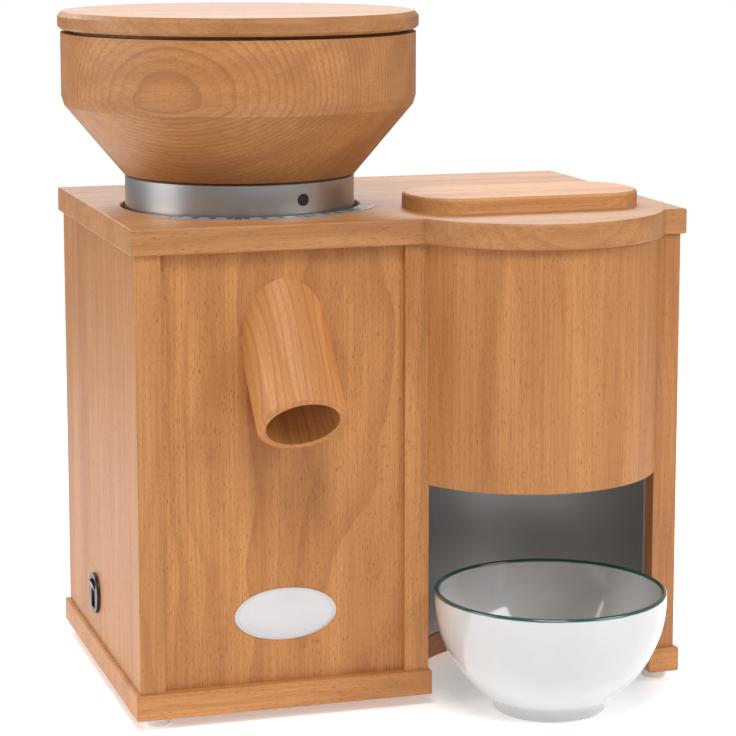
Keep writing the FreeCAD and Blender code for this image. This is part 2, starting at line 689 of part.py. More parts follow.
DOT_Z = "(%s+ring_top/2-1)" % TOP
screw_clear = [rod("ring_screw_hole_%d" % (i + 1), "Z",
                   ("%s+(throat_radius+18)*%.6f" % (MILL_X, math.cos(math.radians(90 + 120 * i))),
                    "%s+(throat_radius+18)*%.6f" % (MILL_Y, math.sin(math.radians(90 + 120 * i))),
                    HOPPER_Z + "-4"), "1.8", "6") for i in range(3)]
ring_hole = radial_rod("ring_dot_hole", "dot_radius-0.8", "ring_radius-ring_wall-1", "ring_wall+2", DOT_Z)
ring = cut("hopper_ring", ring_cup, ring_hole, *screw_clear)
dot_head = radial_rod("index_dot_head", "dot_radius", "ring_radius-0.3", "0.8", DOT_Z)
dot_stem = radial_rod("index_dot_stem", "dot_radius-0.8", "ring_radius-ring_wall", "ring_wall", DOT_Z)
dot = fuse("index_dot", dot_head, dot_stem)

# drive ring in the foot of the steel ring; its tongues turn the stone carrier
drive_disc = turned("drive_disc", [
    ("stone_radius", "0"),
    ("ring_radius-ring_wall", "0"),
    ("ring_radius-ring_wall", "4"),
    ("stone_radius", "4"),
], MILL_X, MILL_Y, RING_FOOT + "+4")
tongues = []
slots = []
for i in range(3):
    turn = math.radians(30 + 120 * i)
    for made, half, low, high, near, far in (
            (tongues, "3.6", "%s+2.1" % CARRIER_Z, "%s+5-%s-2.1" % (RING_FOOT, CARRIER_Z), "46", "51"),
            (slots, "4", "%s+0.8" % CARRIER_Z, "12", "45.5", "60")):
        piece = doc.addObject("Part::Box", "%s_%d" % ("tongue" if made is tongues else "slot", i + 1))
        link(piece, "Length", "%s-%s" % (far, near))
        link(piece, "Width", "2*%s" % half)
        link(piece, "Height", high)
        spin = Rotation(Vector(0, 0, 1), math.degrees(turn))
        put(piece, "%s+%s*%.6f+%s*%.6f" % (MILL_X, near, math.cos(turn), half, math.sin(turn)),
            "%s+%s*%.6f-%s*%.6f" % (MILL_Y, near, math.sin(turn), half, math.cos(turn)), low, turn=spin)
        made.append(piece)
drive_ring = fuse("drive_ring", drive_disc, *tongues)

# threaded carrier with the upper stone under it
carrier_disc = turned("carrier_disc", [
    ("stone_eye", "0"),
    ("stone_radius+2", "0"),
    ("stone_radius+2", "-stone_thick+2"),
    ("thread_radius-run_play", "-stone_thick+2"),
    ("thread_radius-run_play", "carrier_thick"),
    ("stone_eye+6", "carrier_thick"),
], MILL_X, MILL_Y, CARRIER_Z)
carrier = cut("stone_carrier", carrier_disc, *slots)
upper_stone = turned("upper_stone", [
    ("stone_eye", "stone_thick"),
    ("stone_eye", "4"),
    ("stone_radius-9", "0"),
    ("stone_radius", "0"),
    ("stone_radius", "stone_thick"),
], MILL_X, MILL_Y, UPPER_STONE_Z)
lower_stone = turned("lower_stone", [
    ("shaft_radius+4", "0"),
    ("stone_radius", "0"),
    ("stone_radius", "stone_thick"),
    ("stone_radius-9", "stone_thick"),
    ("shaft_radius+6", "stone_thick-3"),
    ("shaft_radius+4", "stone_thick-3"),
], MILL_X, MILL_Y, LOWER_STONE_Z)
hub_disc = turned("hub_disc", [
    ("shaft_radius", "-hub_thick"),
    ("stone_radius-1", "-hub_thick"),
    ("stone_radius-1", "0"),
    ("shaft_radius", "0"),
], MILL_X, MILL_Y, LOWER_STONE_Z)
sweepers = []
for i in range(4):
    arm = doc.addObject("Part::Box", "sweeper_%d" % (i + 1))
    link(arm, "Length", "thread_radius-stone_radius+1")
    arm.Width = 3
    link(arm, "Height", "hub_thick")
    angle = math.radians(45 + 90 * i)
    put(arm, "%s+(stone_radius-2)*%.6f" % (MILL_X, math.cos(angle)),
        "%s+(stone_radius-2)*%.6f" % (MILL_Y, math.sin(angle)),
        "%s-hub_thick" % LOWER_STONE_Z, turn=Rotation(Vector(0, 0, 1), 45 + 90 * i))
    sweepers.append(arm)
hub = fuse("stone_hub", hub_disc, *sweepers)
spindle_nut = doc.addObject("Part::Prism", "spindle_nut_blank")
spindle_nut.Polygon = 6
link(spindle_nut, "Circumradius", "shaft_radius+2.5")
link(spindle_nut, "Height", "5")
put(spindle_nut, MILL_X, MILL_Y, LOWER_STONE_Z)
nut_bore = rod("spindle_nut_bore", "Z", (MILL_X, MILL_Y, LOWER_STONE_Z + "-1"), "shaft_radius-2.5", "8")
nut = cut("spindle_nut", spindle_nut, nut_bore)

# grinding chamber: flange, threaded bore, floor and the flour duct
flange = box("chamber_flange", (LEFT_IN + "+0.5", MILL_Y + "-70", "%s-flange_thick" % ROOM_TOP),
             ("mill_bay-1", "140", "flange_thick"))
wall = rod("chamber_wall", "Z", (MILL_X, MILL_Y, BRACKET_TOP), "chamber_radius",
           "chamber_deep+chamber_floor")
duct_bar = slanted_rod("duct_bar", "spout_radius-1.5", BEHIND, "0")
duct_zone = box("duct_zone", ("%s-40" % SPOUT_X, FACE_Y + "+front_thick", "spout_z-40"),
                ("80", "%s-%s-front_thick-20" % (MILL_Y, FACE_Y), "%s-flange_thick/2-spout_z+40" % ROOM_TOP))
duct = common("duct", duct_bar, duct_zone)
chamber_bore = rod("chamber_bore", "Z", (MILL_X, MILL_Y, FLOOR_Z), "thread_radius", "chamber_deep+1")
ring_seat = rod("ring_seat", "Z", (MILL_X, MILL_Y, RING_FOOT), "hole_radius-1.5", "20")
shaft_pass = rod("shaft_pass", "Z", (MILL_X, MILL_Y, BRACKET_TOP + "-1"), "shaft_radius+0.5",
                 "chamber_floor+2")
duct_bore = slanted_rod("duct_bore", "spout_radius-spout_wall-1", BEHIND, "10")
bore_zone = box("bore_zone", ("%s-30" % SPOUT_X, FACE_Y + "+front_thick-1", "spout_z-30"),
                ("60", "%s-%s-front_thick-40" % (MILL_Y, FACE_Y), "%s-flange_thick-1-spout_z+30" % ROOM_TOP))
duct_hole = common("duct_hole", duct_bore, bore_zone)
CORNERS = [(a, b) for a in (-1, 1) for b in (-1, 1)]
chamber_screws = []
bolt_holes = []
for i, (a, b) in enumerate(CORNERS, 1):
    x = "%s+%d*(mill_bay/2-9)" % (MILL_X, a)
    y = "%s+%d*62" % (MILL_Y, b)
    chamber_screws.append(screw("chamber_screw_%d" % i, "Z", (x, y, "%s-flange_thick" % ROOM_TOP), "2", "18"))
    bolt_holes.append(rod("chamber_screw_hole_%d" % i, "Z", (x, y, "%s-flange_thick-1" % ROOM_TOP), "2", "12"))
    bolt_holes.append(screw("chamber_screw_pit_%d" % i, "Z", (x, y, "%s-flange_thick" % ROOM_TOP), "2", "3"))
screw_set = group("chamber_screws", chamber_screws)
chamber = cut("chamber_machined", fuse("chamber_casting", flange, wall, duct),
              chamber_bore, ring_seat, shaft_pass, duct_hole, *bolt_holes)

# mill motor, hung under the chamber on four through bolts
BOLT_RING = "(motor_radius-5)"


def bolt_spot(i):
    turn = math.radians(45 + 90 * i)
    return ("%s+%s*%.6f" % (MILL_X, BOLT_RING, math.cos(turn)),
            "%s+%s*%.6f" % (MILL_Y, BOLT_RING, math.sin(turn)))


def bolt_bores(name, low, high):
    return [rod("%s_bolt_hole_%d" % (name, i + 1), "Z", bolt_spot(i) + (low,), "2.5", high)
            for i in range(4)]


top_bracket_raw = turned("top_bracket_raw", [
    ("shaft_radius+0.5", "bracket_thick"),
    ("shaft_radius+0.5", "bracket_thick-3"),
    ("bearing_radius", "bracket_thick-3"),
    ("bearing_radius", "bracket_thick-3-bearing_thick"),
    ("bearing_radius+4", "0"),
    ("bearing_radius+4", "bracket_thick-6"),
    ("motor_radius-10", "bracket_thick-6"),
    ("motor_radius-10", "-winding_height-2"),
    ("motor_radius", "-winding_height-2"),
    ("motor_radius", "bracket_thick"),
], MILL_X, MILL_Y, "%s-bracket_thick" % BRACKET_TOP)
top_bracket = cut("motor_top_bracket", top_bracket_raw,
                  *bolt_bores("top_bracket", "%s-5" % STACK_TOP, "40"))
low_bracket_raw = turned("low_bracket_raw", [
    ("shaft_radius+0.5", "0"),
    ("shaft_radius+0.5", "3"),
    ("bearing_radius", "3"),
    ("bearing_radius", "3+bearing_thick"),
    ("bearing_radius+4", "bracket_thick"),
    ("bearing_radius+4", "6"),
    ("motor_radius-10", "6"),
    ("motor_radius-10", "bracket_thick+winding_height+2"),
    ("motor_radius", "bracket_thick+winding_height+2"),
    ("motor_radius", "0"),
], MILL_X, MILL_Y, LOW_BRACKET)
low_bracket = cut("motor_bottom_bracket", low_bracket_raw,
                  *bolt_bores("low_bracket", "%s-1" % LOW_BRACKET, "40"))


def bearing(name, z):
    return turned(name, [
        ("shaft_radius", "0"), ("bearing_radius", "0"),
        ("bearing_radius", "bearing_thick"), ("shaft_radius", "bearing_thick"),
    ], MILL_X, MILL_Y, z)


top_bearing = bearing("top_bearing", "%s-3-bearing_thick" % BRACKET_TOP)
low_bearing = bearing("bottom_bearing", "%s+3" % LOW_BRACKET)
bearings = group("motor_bearings", [top_bearing, low_bearing])
stator_core = turned("stator_core", [
    ("rotor_radius+air_gap", "0"), ("motor_radius", "0"),
    ("motor_radius", "stack_height"), ("rotor_radius+air_gap", "stack_height"),
], MILL_X, MILL_Y, STACK_FOOT)
stator = cut("motor_stator", stator_core, *bolt_bores("stator", "%s-1" % STACK_FOOT, "stack_height+2"))


def winding(name, z):
    # winding head: a bound copper ring at one end of the stack
    return turned(name, [
        ("rotor_radius+3", "1"), ("rotor_radius+5", "0"), ("motor_radius-13", "0"),
        ("motor_radius-11", "2"), ("motor_radius-11", "winding_height-2"),
        ("motor_radius-13", "winding_height"), ("rotor_radius+5", "winding_height"),
        ("rotor_radius+3", "winding_height-1"),
    ], MILL_X, MILL_Y, z)


top_winding = winding("top_winding", STACK_TOP)
low_winding = winding("bottom_winding", "%s-winding_height" % STACK_FOOT)
windings = group("motor_windings", [top_winding, low_winding])
rotor = turned("motor_rotor", [
    ("shaft_radius", "-3"), ("rotor_radius-3", "-3"), ("rotor_radius", "0"),
    ("rotor_radius", "stack_height"), ("rotor_radius-3", "stack_height+3"),
    ("shaft_radius", "stack_height+3"),
], MILL_X, MILL_Y, STACK_FOOT)
FAN_Z = "(%s-16)" % LOW_BRACKET
SHAFT_FOOT = "(%s-4)" % FAN_Z
shaft = turned("motor_shaft", [
    ("0", "0"), ("shaft_radius-1", "0"), ("shaft_radius", "1"),
    ("shaft_radius", "%s-%s" % (LOWER_STONE_Z, SHAFT_FOOT)),
    ("shaft_radius-2.5", "%s-%s" % (LOWER_STONE_Z, SHAFT_FOOT)),
    ("shaft_radius-2.5", "%s-%s+6" % (LOWER_STONE_Z, SHAFT_FOOT)),
    ("0", "%s-%s+6" % (LOWER_STONE_Z, SHAFT_FOOT)),
], MILL_X, MILL_Y, SHAFT_FOOT)
motor_bolts = []
for i in range(4):
    head = doc.addObject("Part::Prism", "motor_bolt_head_%d" % (i + 1))
    head.Polygon = 6
    head.Circumradius = 4.5
    head.Height = 3.5
    put(head, *(bolt_spot(i) + ("%s-3.5" % LOW_BRACKET,)))
    shank = rod("motor_bolt_shank_%d" % (i + 1), "Z", bolt_spot(i) + ("%s-1" % LOW_BRACKET,), "2.5",
                "%s-%s+chamber_floor" % (BRACKET_TOP, LOW_BRACKET))
    motor_bolts.append(fuse("motor_bolt_%d" % (i + 1), head, shank))
bolt_set = group("motor_bolts", motor_bolts)
chamber_taps = cut("grinding_chamber", chamber, *bolt_bores("chamber", BRACKET_TOP + "-1", "chamber_floor"))

fan_hub = turned("fan_hub", [
    ("shaft_radius", "0"), ("14", "0"), ("14", "9"), ("fan_radius", "9"),
    ("fan_radius", "10.5"), ("shaft_radius", "10.5"),
], MILL_X, MILL_Y, FAN_Z)
blades = []
for i in range(9):
    blade = doc.addObject("Part::Box", "fan_blade_%d" % (i + 1))
    link(blade, "Length", "fan_radius-15")
    blade.Width = 1.6
    blade.Height = 10
    angle = math.radians(40 * i)
    put(blade, "%s+13*%.6f" % (MILL_X, math.cos(angle)), "%s+13*%.6f" % (MILL_Y, math.sin(angle)),
        FAN_Z, turn=Rotation(Vector(0, 0, 1), 40 * i + 12))
    blades.append(blade)
fan = fuse("cooling_fan", fan_hub, *blades)

CAP_X = "(%s+20)" % LEFT_IN
CAP_Y = "(%s-back_inset-back_thick-20)" % BACK
capacitor = turned("run_capacitor", [
    ("0", "0"), ("14", "0"), ("15", "1"), ("15", "52"), ("14", "53"), ("5", "53"),
    ("5", "57"), ("0", "57"),
], CAP_X, CAP_Y, BASE_TOP + "+2")
clip_ring = turned("clip_ring", [
    ("15", "0"), ("16.2", "0"), ("16.2", "12"), ("15", "12"),
], CAP_X, CAP_Y, BASE_TOP + "+22")
clip_foot = box("clip_foot", (LEFT_IN, CAP_Y + "-8", BASE_TOP + "+22"), ("5.2", "16", "12"))
clip_room = rod("clip_room", "Z", (CAP_X, CAP_Y, BASE_TOP + "+21"), "15", "14")
clip = cut("capacitor_clip", fuse("clip_blank", clip_ring, clip_foot), clip_room)

# flaker: funnel, rollers in a frame of two side plates, gears and gear motor


def stadium(body, name, width, deep, lift):
    # an outline with round ends, wider than deep
    plan = sketch_on(body, name, "XY_Plane", lift)
    side = "(%s-%s)/2" % (width, deep)
    outline(plan, [
        ("-" + side, "-(%s)/2" % deep), (side, "-(%s)/2" % deep, HALF_ROUND),
        (side, "(%s)/2" % deep), ("-" + side, "(%s)/2" % deep, HALF_ROUND),
    ])
    return plan


def lofted(name, sections, x, y, z):
    body = new_body(name)
    plans = [stadium(body, "%s_ring_%d" % (name, i), *part) for i, part in enumerate(sections, 1)]
    loft = body.newObject("PartDesign::AdditiveLoft", name + "_loft")
    loft.Profile = plans[0]
    loft.Sections = plans[1:]
    loft.Ruled = True
    return put(body, x, y, z)


NIP_Y = "(front_y+nip_y)"
FUNNEL_LOW = "(roller_z+roller_radius-1)"
FUNNEL_TALL = "(%s-%s)" % (TOP, FUNNEL_LOW)


def funnel_shape(name, skin):
    # the mouth stands further back than the nip, so the lower ring is moved
    body = new_body(name)
    wide = "(roller_long-6+2*%s)" % skin
    deep = "(13+2*%s)" % skin
    low = sketch_on(body, name + "_low", "XY_Plane")
    side = "(%s-%s)/2" % (wide, deep)
    outline(low, [("-" + side, "-%s/2" % deep), (side, "-%s/2" % deep, HALF_ROUND),
                  (side, "%s/2" % deep), ("-" + side, "%s/2" % deep, HALF_ROUND)])
    high = sketch_on(body, name + "_high", "XY_Plane", "%s-3" % FUNNEL_TALL)
    wide = "(funnel_width-2*sheet-3+2*%s)" % skin
    deep = "(funnel_deep-2*sheet-3+2*%s)" % skin
    side = "(%s-%s)/2" % (wide, deep)
    shift = "(funnel_back-nip_y)"
    outline(high, [("-" + side, "%s-%s/2" % (shift, deep)), (side, "%s-%s/2" % (shift, deep), HALF_ROUND),
                   (side, "%s+%s/2" % (shift, deep)), ("-" + side, "%s+%s/2" % (shift, deep), HALF_ROUND)])
    loft = body.newObject("PartDesign::AdditiveLoft", name + "_loft")
    loft.Profile = low
    loft.Sections = [high]
    loft.Ruled = True
    return put(body, BAY_X, NIP_Y, FUNNEL_LOW)


funnel_outer = funnel_shape("funnel_outer", "sheet")
funnel_inner = funnel_shape("funnel_inner", "0")
funnel = cut("flaker_hopper", funnel_outer, funnel_inner)

flaker_lid_body = new_body("flaker_lid")
lid_plan = sketch_on(flaker_lid_body, "flaker_lid_plan", "XY_Plane")
HALF_W = "(flaker_lid_width/2)"
HALF_D = "(flaker_lid_deep/2)"
ROUND = "flaker_lid_round"
outline(lid_plan, [
    ("-%s+%s" % (HALF_W, ROUND), "-" + HALF_D),
    ("%s-%s" % (HALF_W, ROUND), "-" + HALF_D, ROUND),
    (HALF_W, "-%s+%s" % (HALF_D, ROUND)),
    (HALF_W, "%s-%s" % (HALF_D, ROUND), ROUND),
    ("%s-%s" % (HALF_W, ROUND), HALF_D),
    ("-%s+%s" % (HALF_W, ROUND), HALF_D, ROUND),
    ("-" + HALF_W, "%s-%s" % (HALF_D, ROUND)),
    ("-" + HALF_W, "-%s+%s" % (HALF_D, ROUND), ROUND),
])
pad(flaker_lid_body, lid_plan, "flaker_lid_thick")
plug_plan = stadium(flaker_lid_body, "flaker_lid_plug_plan", "(funnel_width-4*sheet-6)",
                    "(funnel_deep-4*sheet-6)", None)
pad(flaker_lid_body, plug_plan, "2.4", reverse=True)
put(flaker_lid_body, BAY_X, FUNNEL_Y, TOP)
round_board(flaker_lid_body, "2", lambda e: level_edge(e)
            and abs(e.BoundBox.ZMin - size("flaker_lid_thick")) < 0.01)

SHELF_TOP = "(%s+shelf_thick)" % SHELF_Z
BUSH_RADIUS = "(journal_radius+bush_wall)"
PLATE_FRONT = "(%s-roller_radius-4)" % FRONT_ROLLER_Y
PLATE_TALL = "(roller_z+roller_radius+4-%s)" % SHELF_TOP
PLATE_LONG = "(%s+can_radius+4-%s)" % (PINION_Y, PLATE_FRONT)


def side_plate(name, inner_x, foot_x):
    # an upright plate with a folded foot, bored for the two bushes
    upright = box(name + "_upright", (inner_x, PLATE_FRONT, SHELF_TOP),
                  ("plate_thick", PLATE_LONG, PLATE_TALL))
    foot = box(name + "_foot", (foot_x, PLATE_FRONT, SHELF_TOP), ("10", PLATE_LONG, "3"))
    holes = [rod("%s_bore_%d" % (name, i), "X", (inner_x + "-2", y, "roller_z"), BUSH_RADIUS,
                 "plate_thick+4") for i, y in enumerate((FRONT_ROLLER_Y, REAR_ROLLER_Y), 1)]
    holes.append(rod(name + "_motor_bore", "X", (inner_x + "-2", PINION_Y, "roller_z"), "7", "plate_thick+4"))
    screws = []
    for i, share in enumerate(("8", "%s-8" % PLATE_LONG), 1):
        x = "%s+%s" % (foot_x, "3" if "-10" in foot_x else "7")
        y = "%s+%s" % (PLATE_FRONT, share)
        hole = rod("%s_screw_hole_%d" % (name, i), "Z", (x, y, SHELF_TOP + "-1"), "1.5", "5")
        holes.append(hole)
        head = rod("%s_screw_head_%d" % (name, i), "Z", (x, y, SHELF_TOP + "+3"), "2.6", "1.6")
        shank = rod("%s_screw_shank_%d" % (name, i), "Z", (x, y, SHELF_TOP + "-6"), "1.5", "9.5")
        screws.append(fuse("%s_screw_%d" % (name, i), head, shank))
    made = cut(name, fuse(name + "_blank", upright, foot), *holes)
    return made, screws


LEFT_PLATE_X = "(%s-%s-plate_thick)" % (BAY_X, PLATE_X)
RIGHT_PLATE_X = "(%s+%s)" % (BAY_X, PLATE_X)
left_plate, left_screws = side_plate("roller_plate_left", LEFT_PLATE_X, LEFT_PLATE_X + "-10+plate_thick")
right_plate, right_screws = side_plate("roller_plate_right", RIGHT_PLATE_X, RIGHT_PLATE_X)
plate_screws = group("roller_plate_screws", left_screws + right_screws)

bushes = []
for side, x in (("left", LEFT_PLATE_X), ("right", RIGHT_PLATE_X)):
    for where, y in (("front", FRONT_ROLLER_Y), ("rear", REAR_ROLLER_Y)):
        outer = rod("bush_%s_%s_outer" % (side, where), "X", (x, y, "roller_z"), BUSH_RADIUS, "plate_thick")
        inner = rod("bush_%s_%s_inner" % (side, where), "X", (x + "-1", y, "roller_z"),
                    "journal_radius+0.05", "plate_thick+2")
        bushes.append(cut("bush_%s_%s" % (side, where), outer, inner))
bush_set = group("roller_bushes", bushes)

JOURNAL = "(roller_play+plate_thick+0.6+gear_thick)"
FLUTES = 36


def roller(name, y, left_end, right_end):
    # a fluted steel roller in one piece with its journals
    barrel = rod(name + "_barrel", "X", ("%s-roller_long/2" % BAY_X, y, "roller_z"),
                 "roller_radius", "roller_long")
    journal = rod(name + "_journal", "X", ("%s-roller_long/2-%s" % (BAY_X, left_end), y, "roller_z"),
                  "journal_radius", "roller_long+%s+%s" % (left_end, right_end))
    nicks = []
    for i in range(FLUTES):
        angle = 2 * math.pi * i / FLUTES
        nicks.append(rod("%s_flute_%d" % (name, i + 1), "X",
                         ("%s-roller_long/2-1" % BAY_X,
                          "%s+(roller_radius+0.25)*%.6f" % (y, math.cos(angle)),
                          "roller_z+(roller_radius+0.25)*%.6f" % math.sin(angle)),
                         "0.6", "roller_long+2"))
    return fuse(name, cut(name + "_fluted", barrel, *nicks), journal)


front_roller = roller("front_roller", FRONT_ROLLER_Y, "(roller_play+plate_thick)", JOURNAL)
rear_roller = roller("rear_roller", REAR_ROLLER_Y, JOURNAL, JOURNAL)


def involute(base_radius, radius):
    ratio = max(radius / base_radius, 1.0)
    roll = math.sqrt(ratio * ratio - 1)
    return roll - math.atan(roll)


def gear(name, x, y, teeth, module, bore, start_angle):
    # a spur gear on the X axis; start_angle is where a tooth's middle points,
    # from +Y towards +Z
    pitch = module * teeth / 2.0
    base_radius = pitch * math.cos(math.radians(20))
    tip = pitch + 0.92 * module
    root = pitch - 1.2 * module
    half_tooth = math.pi / (2 * teeth) - 0.07 / pitch + involute(base_radius, pitch)
    points = []
    for i in range(teeth):
        middle = start_angle + 2 * math.pi * i / teeth
        flank = []
        for step in range(5):
            radius = root + (tip - root) * step / 4.0
            swing = half_tooth - involute(base_radius, radius)
            flank.append((radius, swing))
        for radius, swing in flank:
            points.append((radius, middle - swing))
        for radius, swing in reversed(flank):
            points.append((radius, middle + swing))
    ring = [Vector(0, r * math.cos(a), r * math.sin(a)) for r, a in points]
    ring.append(ring[0])
    face = Part.Face(Part.makePolygon(ring))
    blank = face.extrude(Vector(size("gear_thick"), 0, 0))
    hole = Part.makeCylinder(bore, size("gear_thick") + 2, Vector(-1, 0, 0), Vector(1, 0, 0))
    shape = blank.cut(hole)
    thing = doc.addObject("Part::Feature", name)
    thing.Shape = shape
    thing.Placement = Placement(Vector(number(x), number(y), size("roller_z")), Rotation())
    return thing


SYNC_MODULE = number("(2*roller_radius+roller_gap)/sync_teeth")
RIGHT_GEAR_X = "(%s+plate_thick+0.6)" % RIGHT_PLATE_X
LEFT_GEAR_X = "(%s-0.6-gear_thick)" % LEFT_PLATE_X
sync_teeth = int(size("sync_teeth"))
drive_teeth = int(size("drive_teeth"))
pinion_teeth = int(size("pinion_teeth"))
drive_module = size("drive_module")
JOURNAL_BORE = size("journal_radius")
rear_gear = gear("rear_gear", RIGHT_GEAR_X, REAR_ROLLER_Y, sync_teeth, SYNC_MODULE, JOURNAL_BORE, math.pi)
front_gear = gear("front_gear", RIGHT_GEAR_X, FRONT_ROLLER_Y, sync_teeth, SYNC_MODULE, JOURNAL_BORE,
                  math.pi / sync_teeth)
drive_gear = gear("drive_gear", LEFT_GEAR_X, REAR_ROLLER_Y, drive_teeth, drive_module, JOURNAL_BORE, 0)
pinion_rim = gear("pinion_rim", LEFT_GEAR_X, PINION_Y, pinion_teeth, drive_module, 3.0,
              math.pi + math.pi / pinion_teeth)

GEARBOX_X = "(%s+plate_thick)" % LEFT_PLATE_X
pinion_shaft = rod("pinion_shaft", "X", (LEFT_GEAR_X, PINION_Y, "roller_z"), "4",
                   "gear_thick+0.6+plate_thick+gearbox_long/2")
pinion = fuse("drive_pinion", pinion_rim, pinion_shaft)
gearbox_block = rod("gearbox_block", "X", (GEARBOX_X, PINION_Y, "roller_z"), "can_radius-2", "gearbox_long")
gearbox_bore = rod("gearbox_bore", "X", (GEARBOX_X + "-1", PINION_Y, "roller_z"), "4.05", "gearbox_long/2+1.3")
gearbox = cut("gearbox", gearbox_block, gearbox_bore)
can = rod("gear_motor_can", "X", (GEARBOX_X + "+gearbox_long", PINION_Y, "roller_z"), "can_radius", "can_long")
gear_motor = fuse("gear_motor", gearbox, can)

# scrapers under the rollers, on one bar between the plates
scraper_bar = box("scraper_bar", ("%s-%s" % (BAY_X, PLATE_X), NIP_Y + "-24", SHELF_TOP + "+2"),
                  ("2*%s" % PLATE_X, "4", "14"))
scraper_blade = box("scraper_blade", ("%s-roller_long/2+1" % BAY_X, NIP_Y + "-24", SHELF_TOP + "+14"),
                    ("roller_long-2", "1.5", "%s+9" % "(roller_z-roller_radius-%s-14)" % SHELF_TOP))
rear_bar = box("rear_scraper_bar", ("%s-%s" % (BAY_X, PLATE_X), NIP_Y + "+20", SHELF_TOP + "+2"),
               ("2*%s" % PLATE_X, "4", "14"))
rear_blade = box("rear_scraper_blade", ("%s-roller_long/2+1" % BAY_X, NIP_Y + "+22.5", SHELF_TOP + "+14"),
                 ("roller_long-2", "1.5", "%s+9" % "(roller_z-roller_radius-%s-14)" % SHELF_TOP))
front_room = rod("front_scraper_room", "X", ("%s-roller_long/2" % BAY_X, FRONT_ROLLER_Y, "roller_z"),
                 "roller_radius+0.3", "roller_long")
rear_room = rod("rear_scraper_room", "X", ("%s-roller_long/2" % BAY_X, REAR_ROLLER_Y, "roller_z"),
                "roller_radius+0.3", "roller_long")
front_scraper = cut("front_scraper", fuse("front_scraper_blank", scraper_bar, scraper_blade), front_room)
rear_scraper = cut("rear_scraper", fuse("rear_scraper_blank", rear_bar, rear_blade), rear_room)
scrapers = group("roller_scrapers", [front_scraper, rear_scraper])

# flake chute: sheet collar seated in the slot of the shelf
chute_outer = box("chute_outer", ("%s-%s" % (BAY_X, CHUTE_HALF), CHUTE_Y, SHELF_Z + "-6"),
                  ("2*%s" % CHUTE_HALF, CHUTE_DEEP, "shelf_thick+14"))
chute_inner = box("chute_inner", ("%s-%s+sheet" % (BAY_X, CHUTE_HALF), CHUTE_Y + "+sheet", SHELF_Z + "-7"),
                  ("2*%s-2*sheet" % CHUTE_HALF, CHUTE_DEEP + "-2*sheet", "shelf_thick+20"))
chute = cut("flake_chute", chute_outer, chute_inner)

# rocker switches, one in each side panel
ROCKER_TILT = 10


def switch(side, sign, face_x):
    # sign is -1 for the left panel, whose outside faces -X
    start = "%s-(switch_long)" % face_x if sign > 0 else face_x
    barrel = rod(side + "_switch_barrel", "X", (start, SWITCH_Y, "switch_z"), "switch_barrel", "switch_long")
    bezel_start = face_x if sign > 0 else face_x + "-2"
    bezel = rod(side + "_switch_bezel", "X", (bezel_start, SWITCH_Y, "switch_z"), "bezel_radius", "2")
    well_start = face_x + "-7" if sign > 0 else face_x + "-3"
    well = box(side + "_switch_well", (well_start, SWITCH_Y + "-4.7", "switch_z-8.5"), ("10", "9.4", "17"))
    pivot_x = "%s+(%d)" % (face_x, sign * -1)
    pin_seat = rod(side + "_rocker_pin_seat", "Y", (pivot_x, SWITCH_Y + "-6.4", "switch_z"), "1.55", "12.8")
    housing = cut(side + "_switch_body", fuse(side + "_switch_blank", barrel, bezel), well, pin_seat)
    rocker = new_body(side + "_rocker_key")
    profile = sketch_on(rocker, side + "_rocker_profile", "XZ_Plane")
    out = sign
    outline(profile, [
        ("%d" % (-4 * out), "-3"),
        ("%d" % (1 * out), "-7"),
        ("%.1f" % (2.2 * out), "0"),
        ("%.1f" % (4.6 * out), "7"),
        ("%.1f" % (0.6 * out), "7"),
        ("%d" % (-4 * out), "3"),
    ])
    thing = rocker.newObject("PartDesign::Pad", side + "_rocker_pad")
    thing.Profile = profile
    thing.Length = 9
    thing.Midplane = True
    profile.Visibility = False
    put(rocker, pivot_x, SWITCH_Y, "switch_z")
    pin = rod(side + "_rocker_pin", "Y", (pivot_x, SWITCH_Y + "-6.2", "switch_z"), "1.5", "12.4")
    return housing, fuse(side + "_rocker", rocker, pin)


left_switch, left_rocker = switch("left", -1, "(middle_x-width/2+side_inset)")
right_switch, right_rocker = switch("right", 1, "(middle_x+width/2-side_inset)")
switch_bodies = group("switch_bodies", [left_switch, right_switch])

# supply inlet in the back: a gland with its nut inside
gland = turned("supply_gland", [
    ("3.6", "-6"), ("8.5", "-6"), ("9.5", "-5"), ("9.5", "0"), ("6.2", "0"),
    ("6.2", "back_thick+8"), ("3.6", "back_thick+8"),
], GLAND_X, BACK + "-back_inset", GLAND_Z)
gland.Placement = Placement(gland.Placement.Base, Rotation(Vector(1, 0, 0), 90))
gland_nut_blank = doc.addObject("Part::Prism", "gland_nut_blank")
gland_nut_blank.Polygon = 6
gland_nut_blank.Circumradius = 10
gland_nut_blank.Height = 5
put(gland_nut_blank, GLAND_X, BACK + "-back_inset-back_thick", GLAND_Z, turn=Rotation(Vector(1, 0, 0), 90))
nut_room = rod("gland_nut_room", "Y", (GLAND_X, BACK + "-back_inset-back_thick-6", GLAND_Z), "6.2", "8")
gland_nut = cut("gland_nut", gland_nut_blank, nut_room)

